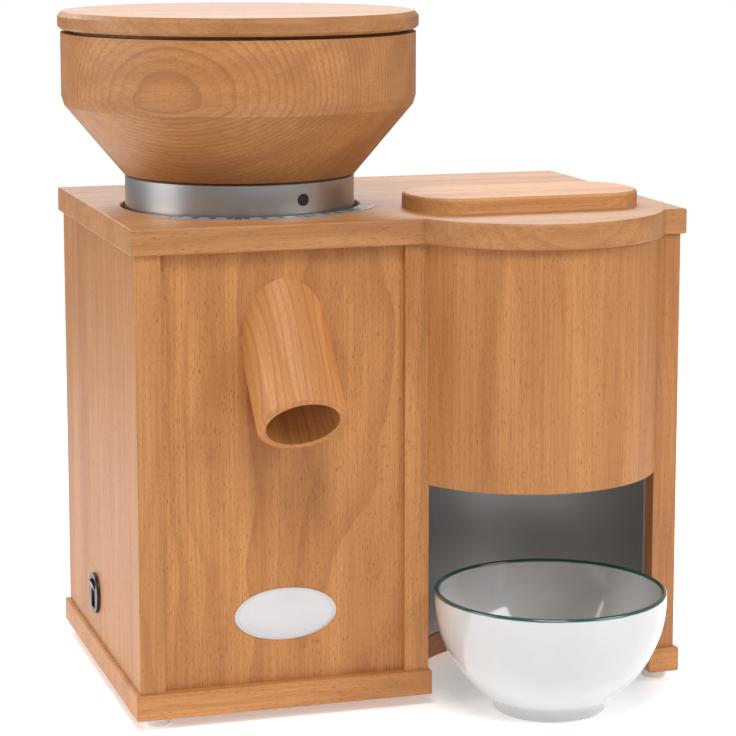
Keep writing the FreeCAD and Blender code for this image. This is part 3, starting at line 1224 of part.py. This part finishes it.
# earthenware bowl under the flaker
BOWL_IN = "(bowl_radius-bowl_wall)"
bowl_body = new_body("catch_bowl")
bowl_section = sketch_on(bowl_body, "catch_bowl_section", "XZ_Plane")
outline(bowl_section, [
    ("0", "4"),
    ("bowl_foot-4", "4"),
    ("bowl_foot-3", "0"),
    ("bowl_foot", "0"),
    ("bowl_foot+0.5", "5", "1.35*bowl_height"),
    ("bowl_radius", "bowl_height"),
    (BOWL_IN, "bowl_height", "-1.35*bowl_height"),
    ("bowl_foot-2", "4+bowl_wall+1"),
    ("0", "4+bowl_wall"),
])
bowl_spin = bowl_body.newObject("PartDesign::Revolution", "catch_bowl_turning")
bowl_spin.Profile = bowl_section
bowl_spin.ReferenceAxis = (bowl_section, ["V_Axis"])
bowl_spin.Angle = 360
put(bowl_body, BAY_X + "-3", "front_y+bowl_y", "0")

NODES = [
    base, top, left_panel, right_panel, partition, front_panel, back_panel,
    bow_panel, liner, shelf, foot_set, feet_screws, badge, scale_body,
    spout, gland, gland_nut, switch_bodies, left_rocker, right_rocker,
    chamber_taps, screw_set, carrier, upper_stone, lower_stone, hub, nut,
    top_bracket, low_bracket, stator, windings, rotor, shaft,
    bearings, bolt_set, fan, capacitor, clip,
    ring, drive_ring, hopper, hopper_screw_set, dot, lid,
    funnel, flaker_lid_body, left_plate, right_plate, plate_screws, bush_set,
    front_roller, rear_roller, front_gear, rear_gear, drive_gear, pinion,
    gear_motor, scrapers, chute, bowl_body,
]

doc.recompute()
for thing in doc.Objects:
    if "Invalid" in thing.State or "Error" in thing.State:
        raise RuntimeError("%s did not build: %s" % (thing.Name, thing.State))
os.makedirs("parts", exist_ok=True)
for node in NODES:
    if node.Shape.isNull() or not node.Shape.isValid():
        raise RuntimeError("%s has no sound solid" % node.Label)
    node.Shape.exportStep(os.path.join("parts", node.Label + ".step"))
print("pieces written:", len(NODES))
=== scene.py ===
import math

import bmesh
import bpy
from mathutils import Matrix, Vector


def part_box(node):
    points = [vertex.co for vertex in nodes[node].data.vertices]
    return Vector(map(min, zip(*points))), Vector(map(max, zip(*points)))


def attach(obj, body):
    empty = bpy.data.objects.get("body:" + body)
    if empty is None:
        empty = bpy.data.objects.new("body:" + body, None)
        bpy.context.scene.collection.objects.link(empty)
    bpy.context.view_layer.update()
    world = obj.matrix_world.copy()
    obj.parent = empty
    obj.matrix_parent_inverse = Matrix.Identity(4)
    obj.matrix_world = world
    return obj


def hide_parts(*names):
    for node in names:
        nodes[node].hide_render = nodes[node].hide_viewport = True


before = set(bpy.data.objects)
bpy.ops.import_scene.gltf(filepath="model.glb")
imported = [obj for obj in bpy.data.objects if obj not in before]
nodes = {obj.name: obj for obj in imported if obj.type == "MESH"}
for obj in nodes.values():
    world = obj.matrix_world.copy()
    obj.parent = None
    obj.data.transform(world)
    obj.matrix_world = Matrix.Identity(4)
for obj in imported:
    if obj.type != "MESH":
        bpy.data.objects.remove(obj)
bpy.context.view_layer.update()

MM = 1000
ACROSS = (1, 0, 0)
DEEP = (0, 1, 0)
UP = (0, 0, 1)


class Value:
    """A socket that takes part in shader sums."""

    def __init__(self, shop, socket):
        self.shop = shop
        self.socket = socket

    def _sum(self, kind, first, second):
        return self.shop.make("ShaderNodeMath", {"operation": kind}, {0: first, 1: second})

    def __add__(self, other):
        return self._sum("ADD", self, other)

    def __radd__(self, other):
        return self._sum("ADD", other, self)

    def __sub__(self, other):
        return self._sum("SUBTRACT", self, other)

    def __rsub__(self, other):
        return self._sum("SUBTRACT", other, self)

    def __mul__(self, other):
        return self._sum("MULTIPLY", self, other)

    def __rmul__(self, other):
        return self._sum("MULTIPLY", other, self)

    def __truediv__(self, other):
        return self._sum("DIVIDE", self, other)

    def __pow__(self, other):
        return self._sum("POWER", self, other)

    def fract(self):
        return self._sum("FRACT", self, 0.0)

    def floor(self):
        return self._sum("FLOOR", self, 0.0)

    def above(self, edge, soft):
        """0 below the edge and 1 above it, with a soft step between."""
        return self.shop.make("ShaderNodeMapRange", {"interpolation_type": "SMOOTHSTEP", "clamp": True},
                              {"Value": self, "From Min": edge - soft, "From Max": edge + soft})

    def below(self, edge, soft):
        return 1 - self.above(edge, soft)

    def between(self, low, high, soft):
        return self.above(low, soft) * self.below(high, soft)


class Finish:
    """One procedural finish, made node by node."""

    SOCKETS = {"colour": "Base Color", "rough": "Roughness", "metal": "Metallic", "normal": "Normal",
               "shine": "Specular IOR Level", "coat": "Coat Weight", "coat_rough": "Coat Roughness",
               "under": "Subsurface Weight", "under_reach": "Subsurface Radius",
               "under_scale": "Subsurface Scale", "glow": "Emission Color", "glow_power": "Emission Strength",
               "see": "Alpha"}

    def __init__(self, name):
        self.material = bpy.data.materials.new(name)
        self.material.use_nodes = True
        self.tree = self.material.node_tree
        self.tree.nodes.clear()
        self.metres = self.make("ShaderNodeTexCoord", {}, {}, out="Object")
        self.millimetres = self.vector("MULTIPLY", self.metres, (MM, MM, MM))

    def make(self, kind, settings, inputs, out=0):
        """A node of a kind with its settings, then the values or links of its sockets. Gives one output."""
        node = self.tree.nodes.new(kind)
        for key, value in settings.items():
            setattr(node, key, value)
        for key, value in inputs.items():
            socket = node.inputs[key]
            if isinstance(value, Value):
                self.tree.links.new(value.socket, socket)
            elif isinstance(value, tuple) and len(value) == 3 and socket.type == "RGBA":
                socket.default_value = (*value, 1.0)
            else:
                socket.default_value = value
        return Value(self, node.outputs[out])

    def vector(self, kind, first, second):
        return self.make("ShaderNodeVectorMath", {"operation": kind}, {0: first, 1: second}, out="Vector")

    def counted_from(self, point):
        """The place on the piece in mm, counted from a point."""
        return self.vector("SUBTRACT", self.millimetres, point)

    def along(self, place, direction):
        """How far a place lies along a direction."""
        return self.make("ShaderNodeVectorMath", {"operation": "DOT_PRODUCT"}, {0: place, 1: direction},
                         out="Value")

    def join(self, x, y, z):
        return self.make("ShaderNodeCombineXYZ", {}, {"X": x, "Y": y, "Z": z})

    def noise(self, place, detail=2.0, rough=0.5):
        return self.make("ShaderNodeTexNoise", {}, {"Vector": place, "Scale": 1.0, "Detail": detail,
                                                    "Roughness": rough})

    def speckle(self, per_mm, detail=2.0, rough=0.5):
        """Noise over the piece with so many grains to the millimetre, one number for all axes or three."""
        each = per_mm if isinstance(per_mm, tuple) else (per_mm, per_mm, per_mm)
        return self.noise(self.vector("MULTIPLY", self.millimetres, each), detail, rough)

    def chance(self, number):
        """A number from 0 to 1 that is the same for the same input."""
        return self.make("ShaderNodeTexWhiteNoise", {"noise_dimensions": "1D"}, {"W": number})

    def blend(self, share, first, second):
        return self.make("ShaderNodeMix", {"data_type": "RGBA", "blend_type": "MIX", "clamp_factor": True},
                         {0: share, 6: first, 7: second}, out=2)

    def bump(self, height, strength, depth):
        """Relief of a height from 0 to 1, with its depth in metres."""
        return self.make("ShaderNodeBump", {}, {"Height": height, "Strength": strength, "Distance": depth})

    def done(self, **sockets):
        inputs = {self.SOCKETS[key]: value for key, value in sockets.items()}
        surface = self.make("ShaderNodeBsdfPrincipled", {}, inputs)
        end = self.tree.nodes.new("ShaderNodeOutputMaterial")
        self.tree.links.new(surface.socket, end.inputs["Surface"])
        return self.material


def reach(first, second):
    """The distance from an axis, of two lengths that are square to it."""
    return (first * first + second * second) ** 0.5


def darker(colour, share):
    return tuple(channel * share for channel in colour)


def toned(colour, tone):
    return tuple(channel * part for channel, part in zip(colour, tone))


def upright_axis(low, high):
    """Where the middle of a box stands on the floor, in mm."""
    return (low[0] + high[0]) / 2 * MM, (low[1] + high[1]) / 2 * MM


# beech

LIGHT_BEECH = (0.572, 0.264, 0.090)
DEEP_BEECH = (0.330, 0.120, 0.034)
FLECK = (0.150, 0.044, 0.012)
GRAIN_ALONG = {"X": (ACROSS, DEEP, UP), "Z": (UP, ACROSS, DEEP)}
OILED_ROUGHNESS = 0.42
# strips are counted from well outside the cabinet
FIRST_STAVE = 40.37
# where the dark late wood lies in a ring
LATE_WOOD_FROM = 0.66
LATE_WOOD_TO = 0.965
# how much each layer of colour covers what lies under it
PALE_SHARE = 0.42
RING_SHARE = 0.62
STREAK_SHARE = 0.34
STAVE_SHARE = 0.34
SEAM_SHARE = 0.35
RAY_SHARE = 0.8
PORE_SHARE = 0.22


def beech(name, grain, pith, gap=4.6, figure=0.5, flecks=0.6, tone=(1, 1, 1), stave=0.0, wander=14.0):
    """Oiled beech with growth rings, streaks, pores and the short dark flecks of its rays.

    grain is the way the fibres run and pith a point on the heart of the log. gap is the width of a ring,
    wander how far the rings stray and stave the width of the strips in a glued board, all in mm.
    figure and flecks say how strongly rings and rays show.
    """
    f = Finish(name)
    pale = toned(LIGHT_BEECH, tone)
    deep = toned(DEEP_BEECH, tone)
    fleck = toned(FLECK, tone)
    place = f.counted_from(pith)
    if stave:
        staves = f.along(f.millimetres, DEEP) / stave + FIRST_STAVE
        luck = f.chance(staves.floor())
        place = f.vector("ADD", place, f.join(luck * 410, luck * 97 - 48, luck * 61 - 30))
    u, v, w = (f.along(place, axis) for axis in GRAIN_ALONG.get(grain, grain))

    def patches(length, width, detail=1.0, rough=0.5):
        """Noise in patches of this length along the fibres and this width across them."""
        return f.noise(f.join(u / length, v / width, w / width), detail, rough)

    drift = patches(190, 70, detail=2.0) - 0.5
    ripple = patches(60, 9, detail=3.0) - 0.5
    rings = (reach(v, w) + drift * wander * 2 + ripple * gap * 0.55) / gap
    within = rings.fract()
    late = within.above(LATE_WOOD_FROM, 0.30) * within.below(LATE_WOOD_TO, 0.035)
    strength = 0.45 + 0.55 * f.chance(rings.floor())
    bands = patches(260, 17, detail=3.0, rough=0.6)
    streaks = patches(95, 1.3, detail=3.0, rough=0.65)
    rays = (patches(3.6, 0.36) + (patches(40, 13) - 0.5) * 0.12).above(0.662, 0.04)
    pores = patches(7.0, 0.22).above(0.66, 0.05)

    colour = f.blend(bands.above(0.5, 0.24), deep, pale)
    colour = f.blend(PALE_SHARE, colour, pale)
    colour = f.blend(late * strength * figure * RING_SHARE, colour, darker(deep, 0.86))
    colour = f.blend(streaks.above(0.52, 0.14) * STREAK_SHARE, colour, darker(deep, 0.92))
    if stave:
        colour = f.blend((luck - 0.5).above(0, 0.5) * STAVE_SHARE, colour, darker(deep, 0.90))
        colour = f.blend(staves.fract().above(0.985, 0.012) * SEAM_SHARE, colour, FLECK)
    colour = f.blend(rays * flecks * RAY_SHARE, colour, fleck)
    colour = f.blend(pores * PORE_SHARE, colour, fleck)
    height = 1 - rays * 0.5 - pores * 0.35 - late * 0.2
    return f.done(colour=colour, rough=OILED_ROUGHNESS + streaks * 0.12 + rays * 0.10,
                  normal=f.bump(height, 0.22, 0.0002), shine=0.42, coat=0.06, coat_rough=0.35)


def wood_axes(fibres, across):
    """Directions along the fibres, across them and square to both."""
    fibres = Vector(fibres).normalized()
    across = Vector(across).normalized()
    return tuple(fibres), tuple(across), tuple(fibres.cross(across))


# metals, stone, plastic and rubber

# sizes of the finest marks in mm
BRUSH_LINE = 0.16
MOULD_GRAIN = 0.35


def plain_metal(name, colour, rough, relief=0.05, patch=3.0):
    f = Finish(name)
    cloud = f.speckle(1 / patch, detail=4.0, rough=0.6)
    fine = f.speckle(2.1)
    return f.done(colour=f.blend(cloud * 0.5, colour, darker(colour, 0.86)), metal=1.0,
                  rough=rough + (cloud - 0.5) * 0.16 + (fine - 0.5) * 0.05,
                  normal=f.bump(fine, relief, 0.0001))


def brushed_steel(name, axis, colour, rough, relief=0.11):
    """Steel brushed round an upright axis."""
    f = Finish(name)
    place = f.counted_from((*axis, 0))
    x = f.along(place, ACROSS)
    y = f.along(place, DEEP)
    z = f.along(place, UP)
    lines = z / BRUSH_LINE + reach(x, y) / BRUSH_LINE
    marks = f.noise(f.join(x / 34, y / 34, lines), detail=3.0, rough=0.7)
    cloud = f.speckle((0.04, 0.04, 0.15))
    return f.done(colour=f.blend(marks * 0.55, colour, darker(colour, 0.74)), metal=1.0,
                  rough=rough + (marks - 0.5) * 0.22 + (cloud - 0.5) * 0.06,
                  normal=f.bump(marks, relief, 0.00012))


def satin_sheet(name, colour, rough):
    """Sheet steel with fine marks that run up it."""
    f = Finish(name)
    marks = f.speckle((3.0, 3.0, 0.02), detail=3.0, rough=0.7)
    cloud = f.speckle(0.03)
    return f.done(colour=f.blend(marks * 0.4 + cloud * 0.3, colour, darker(colour, 0.82)), metal=0.85,
                  rough=rough + (marks - 0.5) * 0.14, normal=f.bump(marks, 0.05, 0.0001))


def moulded(name, colour, rough):
    f = Finish(name)
    skin = f.speckle(1 / MOULD_GRAIN)
    dust = f.speckle(0.12, detail=3.0)
    dusty = tuple(channel * 1.25 + 0.01 for channel in colour)
    return f.done(colour=f.blend(dust.above(0.55, 0.25) * 0.25, colour, dusty),
                  rough=rough + (skin - 0.5) * 0.12 + (dust - 0.5) * 0.08, normal=f.bump(skin, 0.12, 0.00008))


def grindstone(name):
    f = Finish(name)
    grit = f.speckle(1.4, detail=5.0, rough=0.7)
    spots = f.speckle(0.5)
    colour = f.blend(grit.above(0.5, 0.12), (0.42, 0.40, 0.37), (0.66, 0.64, 0.60))
    colour = f.blend(spots.above(0.6, 0.06) * 0.6, colour, (0.22, 0.20, 0.19))
    return f.done(colour=colour, rough=0.86 + (grit - 0.5) * 0.1, normal=f.bump(grit, 0.5, 0.0004))


def copper_wire(name):
    f = Finish(name)
    turns = f.speckle((0.8, 0.8, 2.6))
    return f.done(colour=f.blend(turns.above(0.5, 0.1), (0.42, 0.13, 0.04), (0.72, 0.28, 0.10)), metal=0.9,
                  rough=0.30 + turns * 0.15, normal=f.bump(turns, 0.4, 0.0004))


def pale_rubber(name):
    f = Finish(name)
    haze = f.speckle(0.3)
    return f.done(colour=f.blend(haze, (0.70, 0.69, 0.65), (0.82, 0.81, 0.78)), rough=0.34 + haze * 0.14,
                  normal=f.bump(haze, 0.05, 0.0002), under=0.25, under_reach=(0.004, 0.004, 0.0035),
                  under_scale=1.0, coat=0.15, coat_rough=0.3)


# finishes of this mill and the pieces that wear them

MILL_AXIS = upright_axis(*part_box("hopper"))
SPOUT_TILT = math.radians(47)
SPOUT_WAY = (0, -math.cos(SPOUT_TILT), -math.sin(SPOUT_TILT))
HOPPER_LOG = (-149.3, -81.6, 335.0)


def wear(piece, material):
    slots = piece.data.materials
    if not len(slots):
        slots.append(material)
    for i in range(len(slots)):
        slots[i] = material


def dress(material, *names):
    for name in names:
        wear(nodes[name], material)


dress(beech("beech_top", "X", (20, 120, 120), gap=5.2, tone=(0.94, 0.97, 1.02)), "top_board")
dress(beech("beech_base", "X", (60, 190, -160), gap=4.4, figure=0.6, flecks=0.9, tone=(1.04, 1.0, 0.92)),
      "base_board")
dress(beech("beech_staves", "Z", (-150, 70, 40), gap=4.2, flecks=0.75, tone=(0.97, 0.94, 0.90), stave=27.0),
      "left_side_panel", "right_side_panel")
dress(beech("beech_front", "Z", (-30, 60, 60), gap=6.6, figure=0.75, flecks=0.95, tone=(0.99, 0.94, 0.80),
            wander=24.0), "front_panel")
dress(beech("beech_partition", "Z", (130, 160, 0), gap=4.0, figure=0.4, flecks=0.8, tone=(1.0, 0.96, 0.88)),
      "middle_partition")
dress(beech("beech_bow", "Z", (150, -330, 30), gap=6.0, figure=0.36, flecks=0.8, tone=(0.98, 0.93, 0.84),
            wander=18.0), "bow_front_panel")
dress(beech("beech_back", "X", (0, 320, 40), gap=5.0, flecks=0.5), "back_panel")
dress(beech("beech_spout", wood_axes(SPOUT_WAY, ACROSS), (-20, -60, 250), gap=3.4, figure=0.9, flecks=0.5,
            tone=(1.16, 1.13, 1.06)), "spout")
dress(beech("beech_hopper", wood_axes((0.805, -0.593, 0.03), (0.593, 0.805, 0)), HOPPER_LOG, gap=2.6,
            figure=0.95, flecks=0.65, tone=(0.93, 0.93, 0.94), wander=2.2), "hopper")
dress(beech("beech_lid", "X", (10, 60, 250), gap=5.0, flecks=0.5, tone=(0.86, 0.88, 0.92)), "hopper_lid")
# the flaker lid's beech is toned much paler and cooler than the other pieces: a painted highlight for the
# sheen on its top
dress(beech("beech_flaker_lid_painted_highlight", "X", (60, 40, 150), figure=0.4, flecks=0.5, tone=(1.20, 1.28, 1.38)),
      "flaker_lid")
dress(beech("beech_shelf", "X", (40, 90, 10), gap=5.0, figure=0.4, flecks=0.5), "flaker_shelf")
dress(brushed_steel("steel_brushed_ring", MILL_AXIS, (0.50, 0.495, 0.49), 0.34), "hopper_ring", "drive_ring")
dress(plain_metal("steel_turned", (0.56, 0.56, 0.57), 0.30),
      "motor_shaft", "motor_bearings", "motor_bolts", "spindle_nut", "front_roller", "rear_roller",
      "front_gear", "rear_gear", "drive_gear", "drive_pinion", "roller_plate_left", "roller_plate_right",
      "roller_plate_screws", "foot_screws", "chamber_screws", "hopper_screws", "capacitor_clip")
dress(plain_metal("steel_dark", (0.20, 0.20, 0.21), 0.42), "gear_motor", "roller_scrapers")
dress(brushed_steel("steel_laminations", MILL_AXIS, (0.34, 0.34, 0.36), 0.44, relief=0.35),
      "motor_stator", "motor_rotor")
dress(plain_metal("aluminium_cast", (0.62, 0.62, 0.63), 0.52, relief=0.35, patch=1.4),
      "grinding_chamber", "motor_top_bracket", "motor_bottom_bracket", "stone_carrier", "stone_hub")
dress(plain_metal("bronze", (0.62, 0.38, 0.16), 0.38), "roller_bushes")
dress(satin_sheet("steel_funnel", (0.58, 0.58, 0.58), 0.30), "flaker_hopper", "flake_chute")
dress(satin_sheet("steel_lining", (0.50, 0.51, 0.51), 0.46), "bay_lining")
dress(copper_wire("copper_wire"), "motor_windings")
dress(grindstone("grindstone_face"), "upper_stone", "lower_stone")
dress(pale_rubber("rubber_pale"), "feet")
dress(moulded("plastic_black", (0.012, 0.012, 0.013), 0.34),
      "switch_bodies", "supply_gland", "gland_nut", "cooling_fan")
dress(moulded("plastic_rocker", (0.010, 0.010, 0.011), 0.22), "left_rocker", "right_rocker")
dress(moulded("plastic_cream", (0.62, 0.58, 0.48), 0.42), "run_capacitor")
dress(moulded("plastic_dot", (0.004, 0.004, 0.005), 0.55), "index_dot")


# shapes

def circle(steps):
    """Cosine and sine of equal steps round a circle."""
    return [(math.cos(math.tau * i / steps), math.sin(math.tau * i / steps)) for i in range(steps)]


def new_piece(name, shape):
    mesh = bpy.data.meshes.new(name)
    bmesh.ops.recalc_face_normals(shape, faces=shape.faces)
    shape.to_mesh(mesh)
    shape.free()
    for face in mesh.polygons:
        face.use_smooth = True
    piece = bpy.data.objects.new(name, mesh)
    bpy.context.scene.collection.objects.link(piece)
    return piece


def lathe(name, profile, centre, steps):
    """A profile of (radius, height) in mm, turned round an upright axis on which it starts and ends."""
    shape = bmesh.new()
    loops = [[shape.verts.new(((centre[0] + radius * c) / MM, (centre[1] + radius * s) / MM, height / MM))
              for c, s in (circle(steps) if radius else [(0, 0)])] for radius, height in profile]
    for lower, upper in zip(loops, loops[1:]):
        for i in range(steps):
            j = (i + 1) % steps
            corners = (lower[i % len(lower)], lower[j % len(lower)],
                       upper[j % len(upper)], upper[i % len(upper)])
            shape.faces.new(list(dict.fromkeys(corners)))
    return new_piece(name, shape)


def arc_points(centre, radius, start, end, count):
    """Points of a profile on an arc from one angle in degrees to another."""
    angles = [math.radians(start + (end - start) * i / count) for i in range(count + 1)]
    return [(centre[0] + radius * math.cos(angle), centre[1] + radius * math.sin(angle)) for angle in angles]


def bulge(first, last, rise, count=40):
    """Points of a profile on an arc from first to last that swells out by rise."""
    a = Vector((*first, 0))
    b = Vector((*last, 0))
    way = (b - a).normalized()
    side = way.cross(Vector(UP))
    half = (b - a).length / 2
    radius = (half * half + rise * rise) / (2 * rise)
    middle = (a + b) / 2 - side * (radius - rise)
    points = []
    for i in range(count + 1):
        angle = (i / count - 0.5) * 2 * math.asin(half / radius)
        point = middle + (side * math.cos(angle) + way * math.sin(angle)) * radius
        points.append((point.x, point.y))
    return points


# turned bowl, bare oval plate and ticked scale

# outlines of radius and height in mm, and the depth of the green line under the rim
BOWL_FOOT = [(0, 4.0), (24.5, 4.0), (26.6, 3.4), (27.6, 0.9),
             (28.4, 0.05), (30.2, 0.05), (30.9, 0.8), (30.9, 3.6)]
BOWL_FLOOR = [(18, 7.4), (0, 7.25)]
RIM_BAND = 1.55


def glazed_bowl():
    low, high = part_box("catch_bowl")
    centre = upright_axis(low, high)
    radius = (high[0] - low[0]) / 2 * MM
    top = high[2] * MM
    outside = bulge((31.4, 5.4), (radius - 0.25, top - 1.6), 9.2)
    inside = bulge((28.4, 8.4), (radius - 3.0, top - 1.7), 9.6)
    lip = arc_points((radius - 1.62, top - 1.5), 1.42, 8, 172, 10)
    bowl = lathe("bowl_glazed", BOWL_FOOT + outside + lip + inside[::-1] + BOWL_FLOOR, centre, 160)
    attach(bowl, "bowl")
    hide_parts("catch_bowl")

    f = Finish("glaze_white")
    place = f.counted_from((*centre, 0))
    x = f.along(place, ACROSS)
    y = f.along(place, DEEP)
    z = f.along(place, UP)
    pool = f.noise(f.vector("MULTIPLY", place, (0.05, 0.05, 0.05)))
    throw = f.noise(f.join(x / 40, y / 40, z / 2.4))
    waver = (f.noise(f.join(x / 11, y / 11, z / 30), detail=1.0) - 0.5) * 0.5
    green_line = (z + waver).above(top - RIM_BAND, 0.22)
    bare_foot = z.below(0.7, 0.2) * reach(x, y).below(32, 0.5)
    colour = f.blend(pool.above(0.5, 0.3) * 0.5, (0.585, 0.59, 0.59), (0.63, 0.635, 0.635))
    colour = f.blend(bare_foot, colour, (0.62, 0.57, 0.49))
    colour = f.blend(green_line, colour, (0.010, 0.085, 0.062))
    wear(bowl, f.done(colour=colour, rough=0.11 + pool * 0.05 + bare_foot * 0.5, shine=0.5, coat=1.0,
                      coat_rough=0.04, normal=f.bump(throw + pool * 0.6, 0.10, 0.0005)))


PLATE_FACE = ((1.0, 0.35), (0.992, 0.10), (0.975, 0.0), (0.955, 0.18), (0.94, 0.26), (0.5, 0.22))


def oval_plate():
    """A bare plate with a rounded border. PLATE_FACE has shares of its height and mm behind its front."""
    low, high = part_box("badge_plate")
    middle_x = (low[0] + high[0]) / 2
    middle_z = (low[2] + high[2]) / 2
    half_x = (high[0] - low[0]) / 2
    half_z = (high[2] - low[2]) / 2
    back = high[1]
    front = low[1]
    shape = bmesh.new()
    steps = 144
    rings = [(1.0, back)] + [(share, front + depth / MM) for share, depth in PLATE_FACE]
    loops = [[shape.verts.new((middle_x + (half_x - (1 - share) * half_z) * c, y,
                               middle_z + half_z * share * s))
              for c, s in circle(steps)] for share, y in rings]
    for near, far in zip(loops, loops[1:]):
        for i in range(steps):
            j = (i + 1) % steps
            shape.faces.new((near[i], near[j], far[j], far[i]))
    shape.faces.new(loops[0][::-1])
    shape.faces.new(loops[-1])
    plate = new_piece("oval_plate", shape)
    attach(plate, "cabinet")
    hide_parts("badge_plate")

    f = Finish("plate_silvery")
    place = f.counted_from((middle_x * MM, 0, middle_z * MM))
    out = reach(f.along(place, ACROSS) / (half_x * MM), f.along(place, UP) / (half_z * MM))
    edge = out.above(0.955, 0.012)
    # painted shade: a darker ring laid into the shallow groove inside the raised border
    groove_painted_shade = out.between(0.915, 0.945, 0.008)
    pearl = f.speckle(1.8, detail=3.0)
    sheen = f.speckle((0.04, 0.04, 0.09), detail=1.0)
    colour = f.blend(sheen, (0.56, 0.55, 0.56), (0.66, 0.65, 0.66))
    colour = f.blend(pearl.above(0.58, 0.1) * 0.25, colour, (0.48, 0.47, 0.48))
    colour = f.blend(groove_painted_shade * 0.35, colour, (0.36, 0.34, 0.33))
    colour = f.blend(edge * 0.6, colour, (0.58, 0.55, 0.52))
    wear(plate, f.done(colour=colour, metal=0.25 + edge * 0.5, rough=0.36 + pearl * 0.1,
                       normal=f.bump(pearl, 0.06, 0.0001), coat=0.3, coat_rough=0.15))


TICK_INK = (0.020, 0.020, 0.022)
TICK_EVERY = 7.5
DASH_EVERY = 30
SCALE_RIM = 76.2


def ticked_scale():
    """Grey film round the ring, with a broad dark tick every 7.5 degrees and a slim long one every 30."""
    f = Finish("scale_film")
    place = f.counted_from((*MILL_AXIS, 0))
    x = f.along(place, ACROSS)
    y = f.along(place, DEEP)
    out = reach(x, y)
    turn = f.make("ShaderNodeMath", {"operation": "ARCTAN2"}, {0: y, 1: x}) * (180 / math.pi) + 360

    def ticks(every, half_width, soft, inner, outer):
        """Radial marks, every so many degrees, with half their width as a share of that step."""
        across = (turn / every).fract().between(0.5 - half_width, 0.5 + half_width, soft)
        return across * out.between(inner, outer, 0.15)

    fuzz = f.speckle(0.8, detail=3.0)
    colour = f.blend(fuzz, (0.30, 0.29, 0.285), (0.38, 0.37, 0.365))
    colour = f.blend(out.above(SCALE_RIM, 0.2) * 0.5, colour, (0.25, 0.24, 0.23))
    colour = f.blend(ticks(TICK_EVERY, 0.17, 0.02, 67.6, 74.2), colour, TICK_INK)
    colour = f.blend(ticks(DASH_EVERY, 0.055, 0.01, 67.3, 75.4), colour, TICK_INK)
    dress(f.done(colour=colour, rough=0.34 + fuzz * 0.12, metal=0.35, normal=f.bump(fuzz, 0.04, 0.0001)),
          "scale_plate")


glazed_bowl()
oval_plate()
ticked_scale()


# floor, light and camera

FLOOR_RINGS = (0.5, 1.0, 1.6)
FLOOR_STEPS = 90


def floor_disc():
    """A pale round table top that fades into the white room."""
    shape = bmesh.new()
    middle = shape.verts.new((0, 0, 0))
    rings = [[shape.verts.new((radius * c, radius * s, 0)) for c, s in circle(FLOOR_STEPS)]
             for radius in FLOOR_RINGS]
    for i in range(FLOOR_STEPS):
        j = (i + 1) % FLOOR_STEPS
        shape.faces.new((middle, rings[0][i], rings[0][j]))
        for near, far in zip(rings, rings[1:]):
            shape.faces.new((near[i], far[i], far[j], near[j]))
    table = new_piece("table_floor", shape)
    f = Finish("floor_white")
    out = reach(f.along(f.metres, ACROSS), f.along(f.metres, DEEP))
    haze = f.speckle(0.02)
    wear(table, f.done(colour=f.blend(haze, (0.90, 0.90, 0.90), (0.93, 0.93, 0.93)), rough=0.7, shine=0.2,
                       glow=(1.0, 1.0, 1.0), glow_power=0.34, see=out.below(0.95, 0.40)))


def soft_box(name, place, aim, size, power):
    light = bpy.data.lights.new(name, "AREA")
    light.shape = "RECTANGLE"
    light.size, light.size_y = size
    light.energy = power
    lamp = bpy.data.objects.new(name, light)
    lamp.location = place
    lamp.rotation_euler = (Vector(aim) - Vector(place)).to_track_quat("-Z", "Y").to_euler()
    bpy.context.scene.collection.objects.link(lamp)


def white_room():
    """White where the camera sees past the object, and a dimmer room that lights it from all round."""
    world = bpy.data.worlds.new("studio")
    bpy.context.scene.world = world
    world.use_nodes = True
    tree = world.node_tree
    backdrop = tree.nodes["Background"]
    backdrop.inputs["Color"].default_value = (1, 1, 1, 1)
    backdrop.inputs["Strength"].default_value = 1.0
    room = tree.nodes.new("ShaderNodeBackground")
    room.inputs["Color"].default_value = (1, 0.99, 0.98, 1)
    room.inputs["Strength"].default_value = 0.33
    seen = tree.nodes.new("ShaderNodeLightPath")
    either = tree.nodes.new("ShaderNodeMixShader")
    tree.links.new(seen.outputs["Is Camera Ray"], either.inputs[0])
    tree.links.new(room.outputs[0], either.inputs[1])
    tree.links.new(backdrop.outputs[0], either.inputs[2])
    tree.links.new(either.outputs[0], tree.nodes["World Output"].inputs["Surface"])


FRAME_SIDE = 736
FOCAL_PIXELS = 2558.3
LENS_ROW = 290
SENSOR = 36
CAMERA_PLACE = (-0.41463, -1.33880, 0.43850)
PITCH = 0.15397
YAW = 0.30008


def photo_camera():
    """The photograph's view. FOCAL_PIXELS and LENS_ROW, the row the lens points at, are in its pixels."""
    lens = bpy.data.cameras.new("camera")
    lens.sensor_width = SENSOR
    lens.lens = FOCAL_PIXELS * SENSOR / FRAME_SIDE
    lens.shift_y = (LENS_ROW - FRAME_SIDE / 2) / FRAME_SIDE
    lens.clip_start = 0.05
    lens.clip_end = 50
    camera = bpy.data.objects.new("camera", lens)
    camera.location = CAMERA_PLACE
    camera.rotation_euler = (math.pi / 2 - PITCH, 0, -YAW)
    bpy.context.scene.collection.objects.link(camera)
    bpy.context.scene.camera = camera
    bpy.context.scene.view_settings.view_transform = "Standard"


floor_disc()
soft_box("key_soft_box", (1.4, -1.4, 1.3), (0, 0, 0.18), (1.1, 1.0), 19)
soft_box("spout_soft_box", (-0.25, -1.0, 1.7), (-0.06, -0.06, 0.2), (0.8, 0.5), 17)
soft_box("left_soft_box", (-2.1, 0.2, 0.9), (0, 0, 0.15), (1.4, 1.6), 23)
soft_box("back_soft_box", (0.1, 1.7, 1.5), (0, 0, 0.25), (2.0, 1.0), 38)
white_room()
photo_camera()
